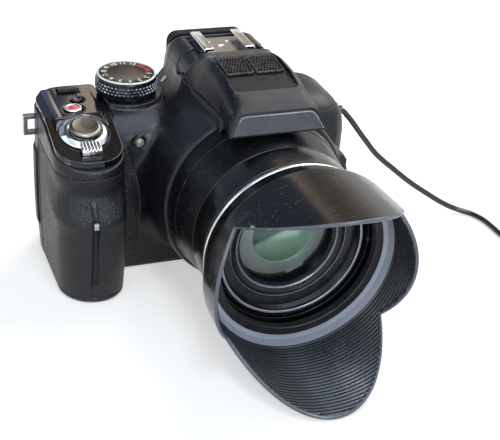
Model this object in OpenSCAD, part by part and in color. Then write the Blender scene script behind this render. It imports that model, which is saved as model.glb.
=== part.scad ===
// Bridge camera with a petal lens hood, built as an assembly of separate pieces.
// Millimetres. The lens looks along -Y, +Z is up and the grip is on the -X side.
// The origin is the mouth of the tripod socket, in the base and under the lens axis.

/* [Body] */
// Height of the lens axis above the base
lens_z = 39.2; // [38.8:0.2:41]
// From the lens axis to the left side of the body
left_x = 49.5; // [48.5:0.5:56]
// From the tripod axis forward to the front face
front_y = 10; // [9:0.5:12]
// From the tripod axis back to the rear face
rear_y = 26.5; // [25.5:0.5:30]
// Height of the top deck
deck_z = 65; // [63:0.5:67]
// Rounding of the deck into the front and the left side
deck_r = 12; // [9:0.5:13]
// Wall of the moulded covers
wall = 2; // [1.6:0.1:2.4]
// Running clearance of the pieces that move
gap = 0.3; // [0.2:0.05:0.4]

/* [Grip] */
// From the lens axis to the outside of the grip
grip_x = 74; // [73:0.5:80]
// From the lens axis to the inside of the grip
grip_in_x = 48; // [46.5:0.5:49]
// How far the grip reaches forward at its fullest
grip_reach = 35; // [33:0.5:40]
// Height at which the grip is fullest
grip_belly_z = 38; // [30:1:44]
// Thickness of the rubber skin
rubber_t = 1.4; // [1:0.1:1.8]
// Height at which the rubber skin ends and the satin band begins
rubber_top_z = 53; // [48:0.5:54]
// Thickness of the glossy panel on the grip
panel_t = 2.6; // [2:0.2:3.2]
// Forward tilt of the panel's front half
panel_tilt = 14; // [8:1:18]

/* [Hump and flash] */
// Top of the viewfinder housing
evf_z = 83.6; // [82:0.2:86]
// Half the width of the viewfinder housing
evf_hw = 18.8; // [18:0.2:20]
// How far the viewfinder housing stands behind the rear face
evf_out = 3.5; // [3:0.5:7]
// Highest point of the flash head
flash_top_z = 88.3; // [87:0.1:92]
// How far the flash head's nose reaches forward
flash_nose_y = 46; // [44:0.5:48]
// Radius of the flash head's two hinge arms
flash_arm_r = 3.8; // [3:0.1:4.2]
// Radius of the flash hinge pins
flash_pin_r = 1.2; // [0.8:0.1:1.6]

/* [Hot shoe] */
// Width inside the shoe
shoe_w = 18.7; // [18.6:0.05:19]
// Width of the opening between the lips
shoe_mouth = 12.6; // [12.5:0.1:13.5]
// Height under the lips
shoe_h = 2.1; // [2:0.05:2.4]
// Length of the rails
shoe_l = 18.5; // [17:0.5:20]
// Thickness of the sheet metal
shoe_t = 1; // [0.8:0.1:1.2]

/* [Lens] */
// Radius of the fixed tube at its base seam
tube_r = 34.8; // [34:0.1:36]
// Radius of the fixed tube at its front seam
tube_front_r = 31.9; // [31.6:0.1:33]
// How far the base seam is in front of the tripod axis
tube_h = 33; // [31:0.5:35]
// How far the front seam is in front of the tripod axis
band_h = 53.5; // [51:0.5:56]
// How far the silver ring is in front of the tripod axis
ring_h = 69; // [67:0.5:70]
// Radius of the filter thread
thread_r = 26; // [24.5:0.5:26]
// Depth of the filter thread
thread_l = 4; // [3:0.5:5]
// Wall of the zoom barrels
barrel_wall = 1.2; // [1:0.1:1.3]
// Travel of each of the two zoom barrels
zoom_travel = 28; // [20:1:30]
// Radius of the front glass
glass_r = 18; // [15:0.5:20]

/* [Hood] */
// Outside radius of the hood where the petals begin
hood_r = 36.8; // [36.4:0.1:38]
// Outside radius of the hood at the tips of the long petals
hood_tip_r = 38.8; // [38:0.1:39]
// How far the tips of the long petals are in front of the tripod axis
hood_tip_h = 119; // [112:0.5:124]
// How far the notches are in front of the tripod axis
hood_notch_h = 87.5; // [84:0.5:92]
// How far the short side petals reach beyond the notches
hood_side = 7; // [4:0.5:12]
// Half the angle that a long petal spans
hood_span = 53; // [45:1:60]
// Wall of the petals
hood_wall = 1.4; // [1:0.1:2]

/* [Controls] */
// Radius of the mode dial's skirt
dial_r = 12.1; // [10:0.1:12.2]
// Height of the mode dial
dial_h = 7.6; // [6:0.2:9]
// Radius of the shutter button
shutter_r = 6; // [5:0.1:6.4]
// Outside radius of the zoom lever's ring
lever_r = 9.3; // [8.5:0.1:9.6]
// Travel of a pressed button
press = 0.8; // [0.4:0.1:1]
// Radius of the cursor pad on the back
pad_r = 10.5; // [8:0.5:11]
// Radius of the small buttons on the back
small_r = 3; // [2.4:0.1:3.2]

/* [Screen] */
// Width of the swivel screen's shell
screen_w = 69; // [62:0.5:70]
// Height of the swivel screen's shell
screen_h = 50; // [46:0.5:51]
// Thickness of the swivel screen's shell
screen_t = 6.5; // [5:0.1:7]
// Radius of the screen's hinge barrel
screen_hinge_r = 3; // [2.4:0.1:3.2]
// Radius of the screen's hinge pin
screen_pin_r = 1.1; // [0.8:0.1:1.4]

/* [Doors and socket] */
// Radius of the tripod thread
tripod_r = 3.175; // [2.5:0.025:3.2]
// Depth of the tripod thread
tripod_l = 5.5; // [4.5:0.5:6]
// Thickness of the battery door and the socket door
door_t = 2; // [1.6:0.1:2.4]
// Length of the battery, front to back
battery_l = 30; // [24:0.5:31]
// Height of the battery
battery_h = 43; // [36:0.5:44]

/* [Lens cap] */
// Diameter of the string that holds the cap
string_d = 2.4; // [2:0.1:3]
// Outside radius of the lens cap
cap_r = 28.5; // [27:0.5:30]
// Thickness of the lens cap
cap_t = 6.5; // [5:0.5:8]

/* [Hidden] */

// Roundness of the revolved and drilled surfaces
$fn = 96;
// Steps in a rounded corner of a lofted outline
corner_steps = 7;
// Steps in the deck's rounding
deck_steps = 4;
// A size larger than the camera, for cutting half-spaces
big = 300;
// A small overlap for clean cuts
eps = 0.01;
// Depth of the parting plane between the front and rear covers
split_y = 8;
// Height of the parting plane under the top cover
seam_z = 60;

// Colours of the mouldings and fittings
black = "#1b1c1f";
satin = "#26282c";
gloss = "#0d0d10";
rubber = "#202125";
chrome = "#c9ccd2";
glass = "#3f6b5a";
brass = "#b8954a";
green = "#2c5b3c";

// Points of a quarter circle about a centre, starting at an angle
function corner(cx, cy, r, a) = [for (i = [0 : corner_steps])
    [cx + r * cos(a + 90 * i / corner_steps), cy + r * sin(a + 90 * i / corner_steps)]];
// Rounded rectangle with its own radius at each corner, counterclockwise from the front left
function rounded(x0, x1, y0, y1, r) = concat(
    corner(x0 + r[0], y0 + r[0], r[0], 180),
    corner(x1 - r[1], y0 + r[1], r[1], 270),
    corner(x1 - r[2], y1 - r[2], r[2], 0),
    corner(x0 + r[3], y1 - r[3], r[3], 90));
// A flat outline lifted to a height
function lift(points, z) = [for (p = points) [p[0], p[1], z]];
// A flat outline stood up across the camera at a depth, drawn as [x, z]
function stand(points, y) = [for (p = points) [p[0], y, p[1]]];
// The right half of an outline, bottom to top, with its mirror image
function both_sides(half) = concat(half, [for (i = [len(half) - 1 : -1 : 0]) [-half[i][0], half[i][1]]]);
// Straight mix of two values
function mix(a, b, t) = a + (b - a) * t;

// Skin over a row of outlines that have equal numbers of points
module loft(rings) {
    n = len(rings[0]);
    m = len(rings);
    sides = [for (j = [0 : m - 2]) for (i = [0 : n - 1])
        let (k = (i + 1) % n)
        each [[j * n + i, j * n + n + i, j * n + n + k], [j * n + i, j * n + n + k, j * n + k]]];
    low_cap = [[for (i = [0 : n - 1]) i]];
    high_cap = [[for (i = [n - 1 : -1 : 0]) (m - 1) * n + i]];
    polyhedron(points = [for (r = rings) each r], faces = concat(low_cap, sides, high_cap));
}

// A profile of [radius, distance forward] turned about the lens axis
module lens_turned(profile) {
    translate([0, 0, lens_z])
        rotate([90, 0, 0])
            rotate_extrude()
                polygon(profile);
}

// A ring about the lens axis between two distances forward
module lens_ring(r_in, r_out, h0, h1) {
    lens_turned([[r_in, h0], [r_out, h0], [r_out, h1], [r_in, h1]]);
}

// A box given by its two corners
module span(a, b) {
    translate(a)
        cube(b - a);
}

// A cylinder along X between two places
module x_rod(x0, x1, y, z, r) {
    translate([x0, y, z])
        rotate([0, 90, 0])
            cylinder(h = x1 - x0, r = r);
}

// A cylinder along Y from a place backward
module y_rod(x, y0, y1, z, r) {
    translate([x, y0, z])
        rotate([-90, 0, 0])
            cylinder(h = y1 - y0, r = r);
}

// A slab with rounded corners, drawn flat
module rounded_slab(w, d, h, r) {
    linear_extrude(h)
        polygon(rounded(-w / 2, w / 2, -d / 2, d / 2, [r, r, r, r]));
}

// Main moulding: side wall inside the grip, foot and edge roundings
block_x0 = -grip_in_x - 4;
foot_in = 1.4;
left_corner_r = 11;
rear_edge_share = 0.3;
function block_plan(inset, e) = rounded(block_x0 + inset, left_x - inset - e,
    -front_y + inset + e, rear_y - inset - e * rear_edge_share,
    [1, left_corner_r - inset, 7 - inset, 1]);
module block(inset) {
    top = deck_z - inset;
    r = deck_r - inset;
    feet = inset > 0
        ? [lift(block_plan(inset, 0), inset)]
        : [lift(block_plan(0, foot_in), 0), lift(block_plan(0, 0), foot_in)];
    crown = [for (i = [0 : deck_steps])
        let (a = 90 * i / deck_steps)
        lift(block_plan(inset, r * (1 - cos(a))), top - r + r * sin(a))];
    loft(concat(feet, crown));
}

// Grip: fullest at the belly, drawn in at the foot, hollowed for the fingers above the belly
panel_line_z = 58;
grip_foot_in = 4;
grip_crown_in = 10;
grip_side_in = 1.5;
grip_foot_r = 1;
foot_band = 3;
finger_in = 3;
finger_z0 = grip_belly_z - 3;
finger_z1 = panel_line_z;
grip_levels = [0, 1.5, 5, 10, 16, 22, 29, finger_z0, 38.5, 42, 45.5, 49, 52, 55, panel_line_z, deck_z];
function finger_hollow(z) = z > finger_z0 && z < finger_z1
    ? finger_in * pow(sin(180 * (z - finger_z0) / (finger_z1 - finger_z0)), 2)
    : 0;
function grip_curve(z) = z < grip_belly_z
    ? grip_reach - grip_foot_in * pow(1 - z / grip_belly_z, 2)
    : grip_reach - grip_crown_in * pow((z - grip_belly_z) / (deck_z - grip_belly_z), 2);
function grip_front(z) = grip_curve(z) - finger_hollow(z);
function grip_side(z) = z < grip_belly_z
    ? grip_x - grip_side_in * pow(1 - z / grip_belly_z, 2)
    : grip_x;
function grip_plan(z, inset) = rounded(-grip_side(z) + inset, -grip_in_x - inset,
    -grip_front(z) + inset, rear_y - inset, [13 - inset, 11 - inset, 2, 13 - inset]);
module grip(inset) {
    loft([for (z = grip_levels) lift(grip_plan(z, z == 0 ? inset + grip_foot_r : inset), z)]);
}

// Side view of the panel's top: level at the back, tilted forward from the bend
bend_y = -2;
panel_z = deck_z + 0.6;
panel_drop = tan(panel_tilt);
panel_end_y = -grip_reach - 10;
function panel_line(down) = [[rear_y + 10, panel_z - down], [bend_y, panel_z - down],
    [panel_end_y, panel_z - down + (panel_end_y - bend_y) * panel_drop]];
// Everything above the panel's underside, over the grip
module over_panel(down) {
    translate([-grip_x - 10, 0, 0])
        rotate([90, 0, 90])
            linear_extrude(grip_x - grip_in_x + 10)
                polygon(concat(panel_line(down), [[panel_end_y, big], [rear_y + 10, big]]));
}
// A place on the panel's tilted half, with local Z along its normal
module on_tilt(x, s) {
    translate([x, bend_y - s * cos(panel_tilt), panel_z - s * sin(panel_tilt)])
        rotate([panel_tilt, 0, 0])
            children();
}

// Lens seat: the front cover carries a collar around the fixed tube
collar_wall = 2.2;
collar_taper = 1;
sleeve_step = 2.2;
collar_r = tube_r + collar_wall;
collar_front_r = collar_r - collar_taper;
sleeve_r = tube_r - sleeve_step;
sleeve_back_h = 2;
seat_gap = 0.05;
module collar(r_in) {
    lens_turned([[r_in, front_y - wall], [collar_r, front_y - wall], [collar_front_r + 0.5, tube_h - 1],
        [collar_front_r, tube_h], [r_in, tube_h]]);
}
module sleeve_bore() {
    lens_ring(0, sleeve_r + seat_gap, sleeve_back_h - seat_gap, tube_h + 1);
}

// Flare from the front face into the collar: wide beside the lens, none above it
flare_reach = 8;
flare_r = collar_r + flare_reach;
flare_in_r = collar_front_r - 0.8;
flare_low_r = lens_z - 0.6;
flare_l = 15;
flare_steps = 6;
flare_sides = 60;
flare_turn_low = 1.5;
flare_turn_high = 2.6;
flare_down = 10;
function rise(a) = abs(a) <= 90 ? a : sign(a) * (180 - abs(a));
function flare_lean(a) = rise(a) + flare_down;
function flare_w(a) = cos(min(90, abs(flare_lean(a)) * (flare_lean(a) > 0 ? flare_turn_high : flare_turn_low)));
function flare_out(a) = min(mix(flare_in_r, flare_r, flare_w(a)), a < 0 ? flare_low_r / max(eps, -sin(a)) : big);
function flare_ring(t) = [for (i = [0 : flare_sides - 1])
    let (a = 360 * i / flare_sides - 180)
    let (r = mix(flare_in_r - 0.4, flare_out(a), pow(1 - t, 2.4)))
    [r * cos(a), -front_y + 1 - t * flare_l, lens_z + r * sin(a)]];
module flare() {
    loft([for (i = [0 : flare_steps]) flare_ring(i / flare_steps)]);
}

// Flat pad on the collar's left that carries the side lever and the focus switch
pad_face_x = collar_r + 1.6;
pad_h0 = front_y + 4;
pad_h1 = tube_h - 3;
pad_hz = 13;
module side_pad() {
    span([collar_r - 7, -pad_h1, lens_z - pad_hz], [pad_face_x, -pad_h0, lens_z + pad_hz]);
}

// Controls on the side pad: a long lever above, a short switch below
side_lever_l = 13;
side_switch_l = 7;
side_lever_w = 5;
side_slot_deep = 2.4;
side_travel = 2;
side_lever_z = lens_z + 4.5;
side_switch_z = lens_z - 8;
side_mid_y = -(pad_h0 + pad_h1) / 2;
module side_slot(z, l, w) {
    span([pad_face_x - side_slot_deep - gap, side_mid_y - l / 2 - gap, z - w / 2 - side_travel - gap],
        [pad_face_x + 1, side_mid_y + l / 2 + gap, z + w / 2 + side_travel + gap]);
}
module side_slider(z, l, w) {
    span([pad_face_x - side_slot_deep, side_mid_y - l / 2, z - w / 2],
        [pad_face_x + 0.6, side_mid_y + l / 2, z + w / 2]);
    span([pad_face_x + 0.5, side_mid_y - l / 2 + 1, z - w / 2 + 1],
        [pad_face_x + 1.8, side_mid_y + l / 2 - 1, z + w / 2 - 1]);
}

// Screen: hinge line at the left rear edge, shell in a bay of the rear cover
screen_axis_x = left_x - screen_hinge_r - 0.6;
screen_axis_y = rear_y + 0.9;
screen_x1 = screen_axis_x - screen_hinge_r - 0.8;
screen_x0 = screen_x1 - screen_w;
screen_z0 = 4;
screen_z1 = screen_z0 + screen_h;
screen_y0 = rear_y + 0.6 - screen_t;
screen_y1 = rear_y + 0.6;
knuckle_l = 7;
knuckle_z0 = screen_z0 + knuckle_l;
knuckle_z1 = screen_z1 - knuckle_l;
module screen_bay() {
    span([screen_x0 - gap, screen_y0 - gap, screen_z0 - gap],
        [screen_x1 + gap, rear_y + 10, screen_z1 + gap]);
    span([screen_x1 - 1, screen_y1 - 3 - gap, knuckle_z0 - gap],
        [screen_axis_x, rear_y + 10, knuckle_z1 + gap]);
    translate([screen_axis_x, screen_axis_y, knuckle_z0 - gap])
        cylinder(h = knuckle_z1 - knuckle_z0 + 2 * gap, r = screen_hinge_r + gap + 0.1);
}
module screen_knuckle(z0, z1) {
    difference() {
        translate([screen_axis_x, screen_axis_y, z0])
            cylinder(h = z1 - z0, r = screen_hinge_r);
        translate([screen_axis_x, screen_axis_y, z0 - 1])
            cylinder(h = z1 - z0 + 2, r = screen_pin_r);
    }
}
module screen_pin_bore() {
    translate([screen_axis_x, screen_axis_y, screen_z0])
        cylinder(h = screen_h, r = screen_pin_r);
}

// Buttons on the back: each has a cap that shows and a flange that keeps it in
back_wall = 2.2;
flange_t = 0.8;
pad_x = screen_x0 - 18.5;
pad_z = 29;
set_r = 4.2;
evf_button_r = 1.6;
evf_button_x = screen_x0 + 8;
evf_button_z = (screen_z1 + gap + seam_z) / 2;
play_x = screen_x0 - 5.2;
lock_x = play_x - 9;
upper_z = 49.5;
display_x = screen_x0 - 6;
delete_x = display_x - 22;
lower_z = 10;
module back_button(x, z, r) {
    y_rod(x, rear_y - back_wall - gap - flange_t, rear_y - back_wall - gap, z, r + 0.8);
    y_rod(x, rear_y - back_wall - gap - eps, rear_y + 1.2, z, r);
}
module back_bore(x, z, r) {
    y_rod(x, rear_y - back_wall, rear_y + 5, z, r + gap);
    y_rod(x, rear_y - back_wall - 2 * gap - flange_t - press, rear_y - back_wall, z, r + 0.8 + gap);
}

// Dials: place of the mode dial, of the thumb dial and of the dioptre wheel
dial_x = -38.2;
dial_y = rear_y - 12.7;
dial_pad_r = 14;
dial_pad_t = 1.6;
dial_stem_r = 3;
dial_stem_l = 4;
dial_seat_z = deck_z + dial_pad_t;
dial_top_z = dial_seat_z + gap + dial_h;
thumb_x = -grip_x + 17;
thumb_y = rear_y - 5;
thumb_z = 56;
thumb_r = 7.2;
thumb_t = 4.2;
dioptre_y = rear_y - 1;
dioptre_z = 73;
dioptre_r = 4.4;
dioptre_t = 2.6;
dioptre_x = evf_hw + 0.2;

// Controls on the grip's panel
shutter_s = 11;
shutter_x = -61;
lever_seat = 0.3;
lever_t = 1.8;
shutter_press = 0.6;
shutter_low = lever_seat + lever_t + gap + shutter_press;
movie_x = -61.6;
movie_y = 2.6;
movie_r = 3.4;
burst_x = -58.5;
burst_y = 10.5;
burst_r = 2.2;
power_x = -60.4;
power_y = 18.6;
power_w = 7;
power_d = 3;
power_travel = 3;
panel_floor = panel_t + 1.5;
module panel_bore(x, y, r) {
    translate([x, y, panel_z - panel_floor])
        cylinder(h = panel_floor + 5, r = r + gap);
}

// Flash head: seam with the hump, hinge line beside the shoe
flash_rear_y = -1;
flash_axis_y = 6;
flash_axis_z = 79.4;
flash_seam_z = 77.2;
flash_seam_front_z = 76.6;
flash_step_y = -35;
flash_nose_low_z = 73.9;
flash_nose_top_z = 81.5;
flash_nose_lean = 3.5;
flash_seam_hw = 20.8;
arm_in_x = 14.2;
arm_out_x = evf_hw + 0.6;
pin_wall = 2.6;
pin_end_x = arm_out_x - pin_wall;

// Hot shoe: floor of the shoe and its place
shoe_floor_z = evf_z - 0.8;
shoe_mid_y = 12.8;
shoe_out_hw = shoe_w / 2 + shoe_t;
shoe_bay_hw = arm_in_x - gap - 0.1;

// Zoom barrels, from the filter thread outward
inner_r = thread_r + barrel_wall;
outer_in_r = inner_r + gap;
outer_r = outer_in_r + barrel_wall;
tube_in_r = outer_r + gap;
front_h = ring_h + 2;
barrel_back_h = 14;
inner_back_h = barrel_back_h + 8;
front_face_h = ring_h + 1.6;

// Boards and inner pieces
sensor_t = 2.5;
board_t = 1.6;
sensor_y = -sleeve_back_h;
board_y = sensor_y + sensor_t;

// Front shell with the grip's core and the collar around the lens
module front_cover() {
    color(black)
        difference() {
            union() {
                intersection() {
                    block(0);
                    span([-grip_in_x - 2, -big, 0], [big, split_y, seam_z]);
                }
                intersection() {
                    union() {
                        grip(rubber_t);
                        intersection() {
                            grip(0);
                            span([-big, -big, rubber_top_z], [0, big, big]);
                        }
                        intersection() {
                            grip(0);
                            span([-big, -big, 0], [0, big, foot_band]);
                        }
                    }
                    span([-big, -big, 0], [0, split_y, big]);
                }
                intersection() {
                    collar(sleeve_r - 1);
                    span([-big, -big, 0], [big, big, seam_z]);
                }
                intersection() {
                    flare();
                    span([-big, -big, 0], [big, big, seam_z]);
                }
                side_pad();
            }
            intersection() {
                block(wall);
                span([-grip_in_x + wall, -big, 0], [big, split_y + 1, seam_z + 1]);
            }
            over_panel(panel_t);
            sleeve_bore();
            battery_bay();
            side_slot(side_lever_z, side_lever_l, side_lever_w);
            side_slot(side_switch_z, side_switch_l, side_lever_w - 1);
            lamp_bore();
            tripod_seat();
            panel_bore(movie_x, movie_y, movie_r);
            panel_bore(burst_x, burst_y, burst_r);
            on_tilt(shutter_x, shutter_s)
                translate([0, 0, -panel_floor - 3])
                    cylinder(h = 20, r = shutter_r - 1 + gap);
        }
}

// Rear shell with the screen's bay and the button bores
module rear_cover() {
    color(black)
        difference() {
            union() {
                screen_knuckle(screen_z0, knuckle_z0 - gap);
                screen_knuckle(knuckle_z1 + gap, screen_z1);
                intersection() {
                    block(0);
                    span([-grip_in_x - 2, split_y, 0], [big, big, seam_z]);
                }
                intersection() {
                    grip(0);
                    span([-big, split_y, 0], [0, big, big]);
                }
            }
            intersection() {
                block(wall);
                span([-grip_in_x + wall, split_y - 1, 0], [big, screen_y0 - gap - wall, seam_z + 1]);
            }
            screen_bay();
            screen_pin_bore();
            over_panel(panel_t);
            battery_bay();
            thumb_recess();
            back_bores();
            thumb_dial_bay();
            socket_bay();
            tripod_seat();
            panel_bore(burst_x, burst_y, burst_r);
            power_slot();
        }
}

// Bores for every button on the back
module back_bores() {
    back_bore(evf_button_x, evf_button_z, evf_button_r);
    back_bore(lock_x, upper_z, small_r);
    back_bore(play_x, upper_z, small_r);
    back_bore(pad_x, pad_z, pad_r);
    back_bore(display_x, lower_z, small_r);
    back_bore(delete_x, lower_z, small_r);
}

// Bay for the battery and the card, open at the base under the door
bay_wall_x = 7;
bay_wall_y = 18;
bay_wall_in = 2.6;
bay_x0 = -grip_x + bay_wall_x;
bay_x1 = -grip_in_x - bay_wall_in;
bay_y0 = -grip_reach + bay_wall_y;
bay_y1 = bay_y0 + battery_l + 2 * gap;
bay_z1 = door_t + 3 * gap + battery_h + gap;
card_t = 2.1;
card_x = bay_x1 - gap - card_t;
door_lap = 1;
door_x0 = bay_x0 - door_lap;
door_x1 = bay_x1 + door_lap;
door_y0 = bay_y0 - door_lap;
door_y1 = bay_y1 + door_lap;
door_axis_x = door_x1 - door_t / 2;
module battery_bay() {
    span([bay_x0, bay_y0, -1], [bay_x1, bay_y1, bay_z1]);
    span([door_x0 - gap, door_y0 - gap, -1], [door_x1 + gap, door_y1 + gap, door_t + gap]);
}

// Recess for the lamp in the front face
lamp_x = -39.5;
lamp_z = 56;
lamp_r = 1.9;
module lamp_bore() {
    y_rod(lamp_x, -front_y - 4, -front_y + 3.5, lamp_z, lamp_r);
}

// Seat for the tripod bush, on both sides of the parting plane
bush_r = 6;
bush_rim_r = 8;
bush_h = lens_z - sleeve_r - gap;
module tripod_seat() {
    translate([0, 0, -1])
        cylinder(h = bush_h + 1, r = bush_r);
}

// Shallow recess for the thumb rubber, which wraps the grip's rear corner
thumb_pad_z0 = 14;
thumb_pad_z1 = 46;
thumb_pad_x = -grip_x + 15;
thumb_pad_y = split_y + 2.5;
thumb_pad_t = 0.9;
thumb_pad_proud = 0.7;
module thumb_zone() {
    span([-big, thumb_pad_y, thumb_pad_z0], [thumb_pad_x, big, thumb_pad_z1]);
}
module thumb_recess() {
    difference() {
        thumb_zone();
        grip(thumb_pad_t);
    }
}

// Bay for the thumb dial in the back, open to the rear
module thumb_dial_bay() {
    translate([thumb_x, thumb_y, thumb_z - thumb_t / 2 - gap])
        cylinder(h = thumb_t + 2 * gap, r = thumb_r + gap);
    translate([thumb_x, thumb_y, thumb_z - thumb_t / 2 - 2])
        cylinder(h = thumb_t + 4, r = 1 + gap);
}

// Bay for the socket door in the left side
socket_y0 = split_y + 1.2;
socket_y1 = screen_y0 - 1.6;
socket_z0 = 16;
socket_z1 = 44;
socket_axis_x = left_x - door_t / 2;
socket_axis_y = socket_y0 + door_t / 2;
module socket_bay() {
    span([left_x - door_t - gap, socket_y0 - gap, socket_z0 - gap], [left_x + 5, socket_y1 + gap, socket_z1 + gap]);
}

// Slot for the power switch in the panel
module power_slot() {
    span([power_x - power_w / 2 - gap, power_y - power_d / 2 - gap, panel_z - panel_floor],
        [power_x + power_w / 2 + gap, power_y + power_d / 2 + power_travel + gap, panel_z + 5]);
}

// Fixed part of the hump under the flash head, with flanks that sweep into the deck
hump_front_y = flash_step_y - 1;
hump_base_hw = 33;
hump_neck_hw = 20;
hump_front_hw = 16.8;
hump_rear_hw = evf_hw - 1.2;
hump_rear_y = rear_y - 0.4;
flank_power = 2.2;
flank_steps = 5;
hump_turn_y = -front_y + wall;
hump_stations = [hump_rear_y, flash_rear_y, hump_turn_y, -16, -25, hump_front_y];
function hump_t(y) = max(0, (flash_rear_y - y) / (flash_rear_y - hump_front_y));
function hump_base(y) = mix(hump_base_hw, hump_neck_hw, max(0, (hump_turn_y - y) / (hump_turn_y - hump_front_y)));
function hump_top(y) = y > flash_rear_y
    ? mix(flash_seam_hw, hump_rear_hw, (y - flash_rear_y) / (hump_rear_y - flash_rear_y))
    : mix(flash_seam_hw, hump_front_hw, hump_t(y));
function hump_z(y) = mix(flash_seam_z, flash_seam_front_z, hump_t(y)) - gap - 0.1;
function hump_half(y) = [for (i = [0 : flank_steps])
    let (t = i / flank_steps)
    [hump_top(y) + (hump_base(y) - hump_top(y)) * pow(1 - t, flank_power), mix(seam_z, hump_z(y), t)]];
module hump() {
    loft([for (y = hump_stations) stand(both_sides(hump_half(y)), y)]);
}

// Viewfinder housing behind the flash head, rounded at its upper edges
evf_front_y = flash_rear_y + 0.6;
evf_edge_r = 6.5;
evf_slope = 3;
function evf_half(hw, top) = concat([[hw + 1.5, deck_z - 3], [hw + 0.3, top - evf_edge_r - 1]],
    [for (i = [0 : corner_steps])
        let (a = 90 * i / corner_steps)
        [hw - evf_edge_r + evf_edge_r * cos(a), top - evf_edge_r + evf_edge_r * sin(a)]]);
module evf_housing() {
    loft([stand(both_sides(evf_half(evf_hw - 1.2, evf_z - evf_slope)), rear_y + evf_out),
        stand(both_sides(evf_half(evf_hw, evf_z)), shoe_mid_y + shoe_l / 2 + 1.4),
        stand(both_sides(evf_half(evf_hw, evf_z)), evf_front_y)]);
}

// Space that the flash head's arms and rear edge need
module flash_space() {
    for (side = [0, 1])
        mirror([side, 0, 0]) {
            x_rod(arm_in_x - gap - 0.2, arm_out_x + 5, flash_axis_y, flash_axis_z, flash_arm_r + gap + 0.1);
            span([arm_in_x - gap - 0.2, flash_rear_y - 1, flash_seam_z - gap - 0.1],
                [arm_out_x + 5, flash_axis_y, big]);
        }
}

// Top shell: deck, hump and viewfinder housing
eye_w = 25;
eye_h = 14;
eye_z = 73.5;
flash_button_y = 2;
flash_button_z = 70.5;
flash_button_r = 3;
module top_cover() {
    color(black)
        difference() {
            union() {
                intersection() {
                    block(0);
                    span([-grip_in_x, -big, seam_z], [big, big, big]);
                }
                translate([dial_x, dial_y, deck_z - 3])
                    cylinder(h = 3 + dial_pad_t, r = dial_pad_r);
                intersection() {
                    collar(sleeve_r - 1);
                    span([-big, -big, seam_z], [big, big, big]);
                }
                hump();
                evf_housing();
            }
            span([-big, -big, -big], [-grip_in_x, big, big]);
            flash_space();
            sleeve_bore();
            lens_ring(0, tube_r + gap, tube_h, tube_h + 10);
            evf_tunnel();
            shoe_pocket();
            translate([dial_x, dial_y, dial_seat_z - dial_stem_l - gap])
                cylinder(h = dial_stem_l + 1, r = dial_stem_r + gap);
            x_rod(10, big / 4, flash_button_y, flash_button_z, flash_button_r + gap);
            dioptre_bay();
            top_hollow();
            flash_pin_bores();
        }
}

// Hollow under the deck on both sides of the hump
module top_hollow() {
    intersection() {
        block(wall);
        span([-grip_in_x + wall, front_y, seam_z - 1], [-evf_hw - 8, rear_y - wall, deck_z - wall - 2]);
    }
    intersection() {
        block(wall);
        span([evf_hw + 14, front_y, seam_z - 1], [big, rear_y - wall, deck_z - wall]);
    }
}

// Way through the viewfinder housing for the eyepiece
module evf_tunnel() {
    translate([0, rear_y + evf_out + 1, eye_z])
        rotate([90, 0, 0])
            rounded_slab(eye_w - 5, eye_h - 4, 22, 2);
}

// Sunk floor of the hot shoe
module shoe_pocket() {
    span([-shoe_bay_hw, flash_rear_y - 2, shoe_floor_z - shoe_t], [shoe_bay_hw, flash_axis_y + flash_arm_r + 1, big]);
    span([-shoe_out_hw - 1.6, flash_rear_y - 2, shoe_floor_z - shoe_t],
        [shoe_out_hw + 1.6, shoe_mid_y + shoe_l / 2 + 1, big]);
}

// Bay for the dioptre wheel in the housing's left flank
module dioptre_bay() {
    x_rod(dioptre_x - gap, dioptre_x + 20, dioptre_y, dioptre_z, dioptre_r + gap);
    x_rod(dioptre_x - 4, dioptre_x, dioptre_y, dioptre_z, 1.2 + gap);
}

// Bores for the flash hinge pins in the housing
module flash_pin_bores() {
    for (side = [0, 1])
        mirror([side, 0, 0])
            x_rod(arm_in_x - 4, arm_in_x, flash_axis_y, flash_axis_z, flash_pin_r);
}

// Leather-grained rubber around the grip, with the long finger groove in its front
groove_x = -62;
groove_r = 1.3;
groove_deep = 0.9;
module grip_rubber() {
    color(rubber)
        difference() {
            intersection() {
                grip(0);
                union() {
                    span([-big, -big, foot_band], [-grip_in_x - 4, split_y, rubber_top_z]);
                    span([-grip_in_x - 5, -big, foot_band], [0, -front_y, rubber_top_z]);
                }
            }
            grip(rubber_t);
            flare();
            translate([groove_x, -grip_reach - groove_r + groove_deep, 12])
                cylinder(h = 30, r = groove_r);
        }
}

// Rubber pad for the thumb
module thumb_rubber() {
    color(rubber)
        difference() {
            intersection() {
                grip(-thumb_pad_proud);
                thumb_zone();
            }
            grip(thumb_pad_t);
        }
}

// Glossy panel on top of the grip, set in from the grip's outline
panel_low_z = 40;
panel_rim_z = 59;
panel_in = 0.6;
panel_rear_in = 1.2;
panel_corners = [11, 9, 2, 12];
module top_panel() {
    color(gloss)
        difference() {
            intersection() {
                translate([0, 0, panel_low_z])
                    linear_extrude(panel_z)
                        polygon(rounded(-grip_x + panel_in, -grip_in_x - panel_in,
                            -grip_front(panel_rim_z) + panel_in, rear_y - panel_rear_in, panel_corners));
                over_panel(panel_t);
            }
            over_panel(0);
            on_tilt(shutter_x, shutter_s)
                translate([0, 0, -10])
                    cylinder(h = 20, r = shutter_r - 1 + gap);
            panel_bore(movie_x, movie_y, movie_r);
            panel_bore(burst_x, burst_y, burst_r);
            power_slot();
        }
}

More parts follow.
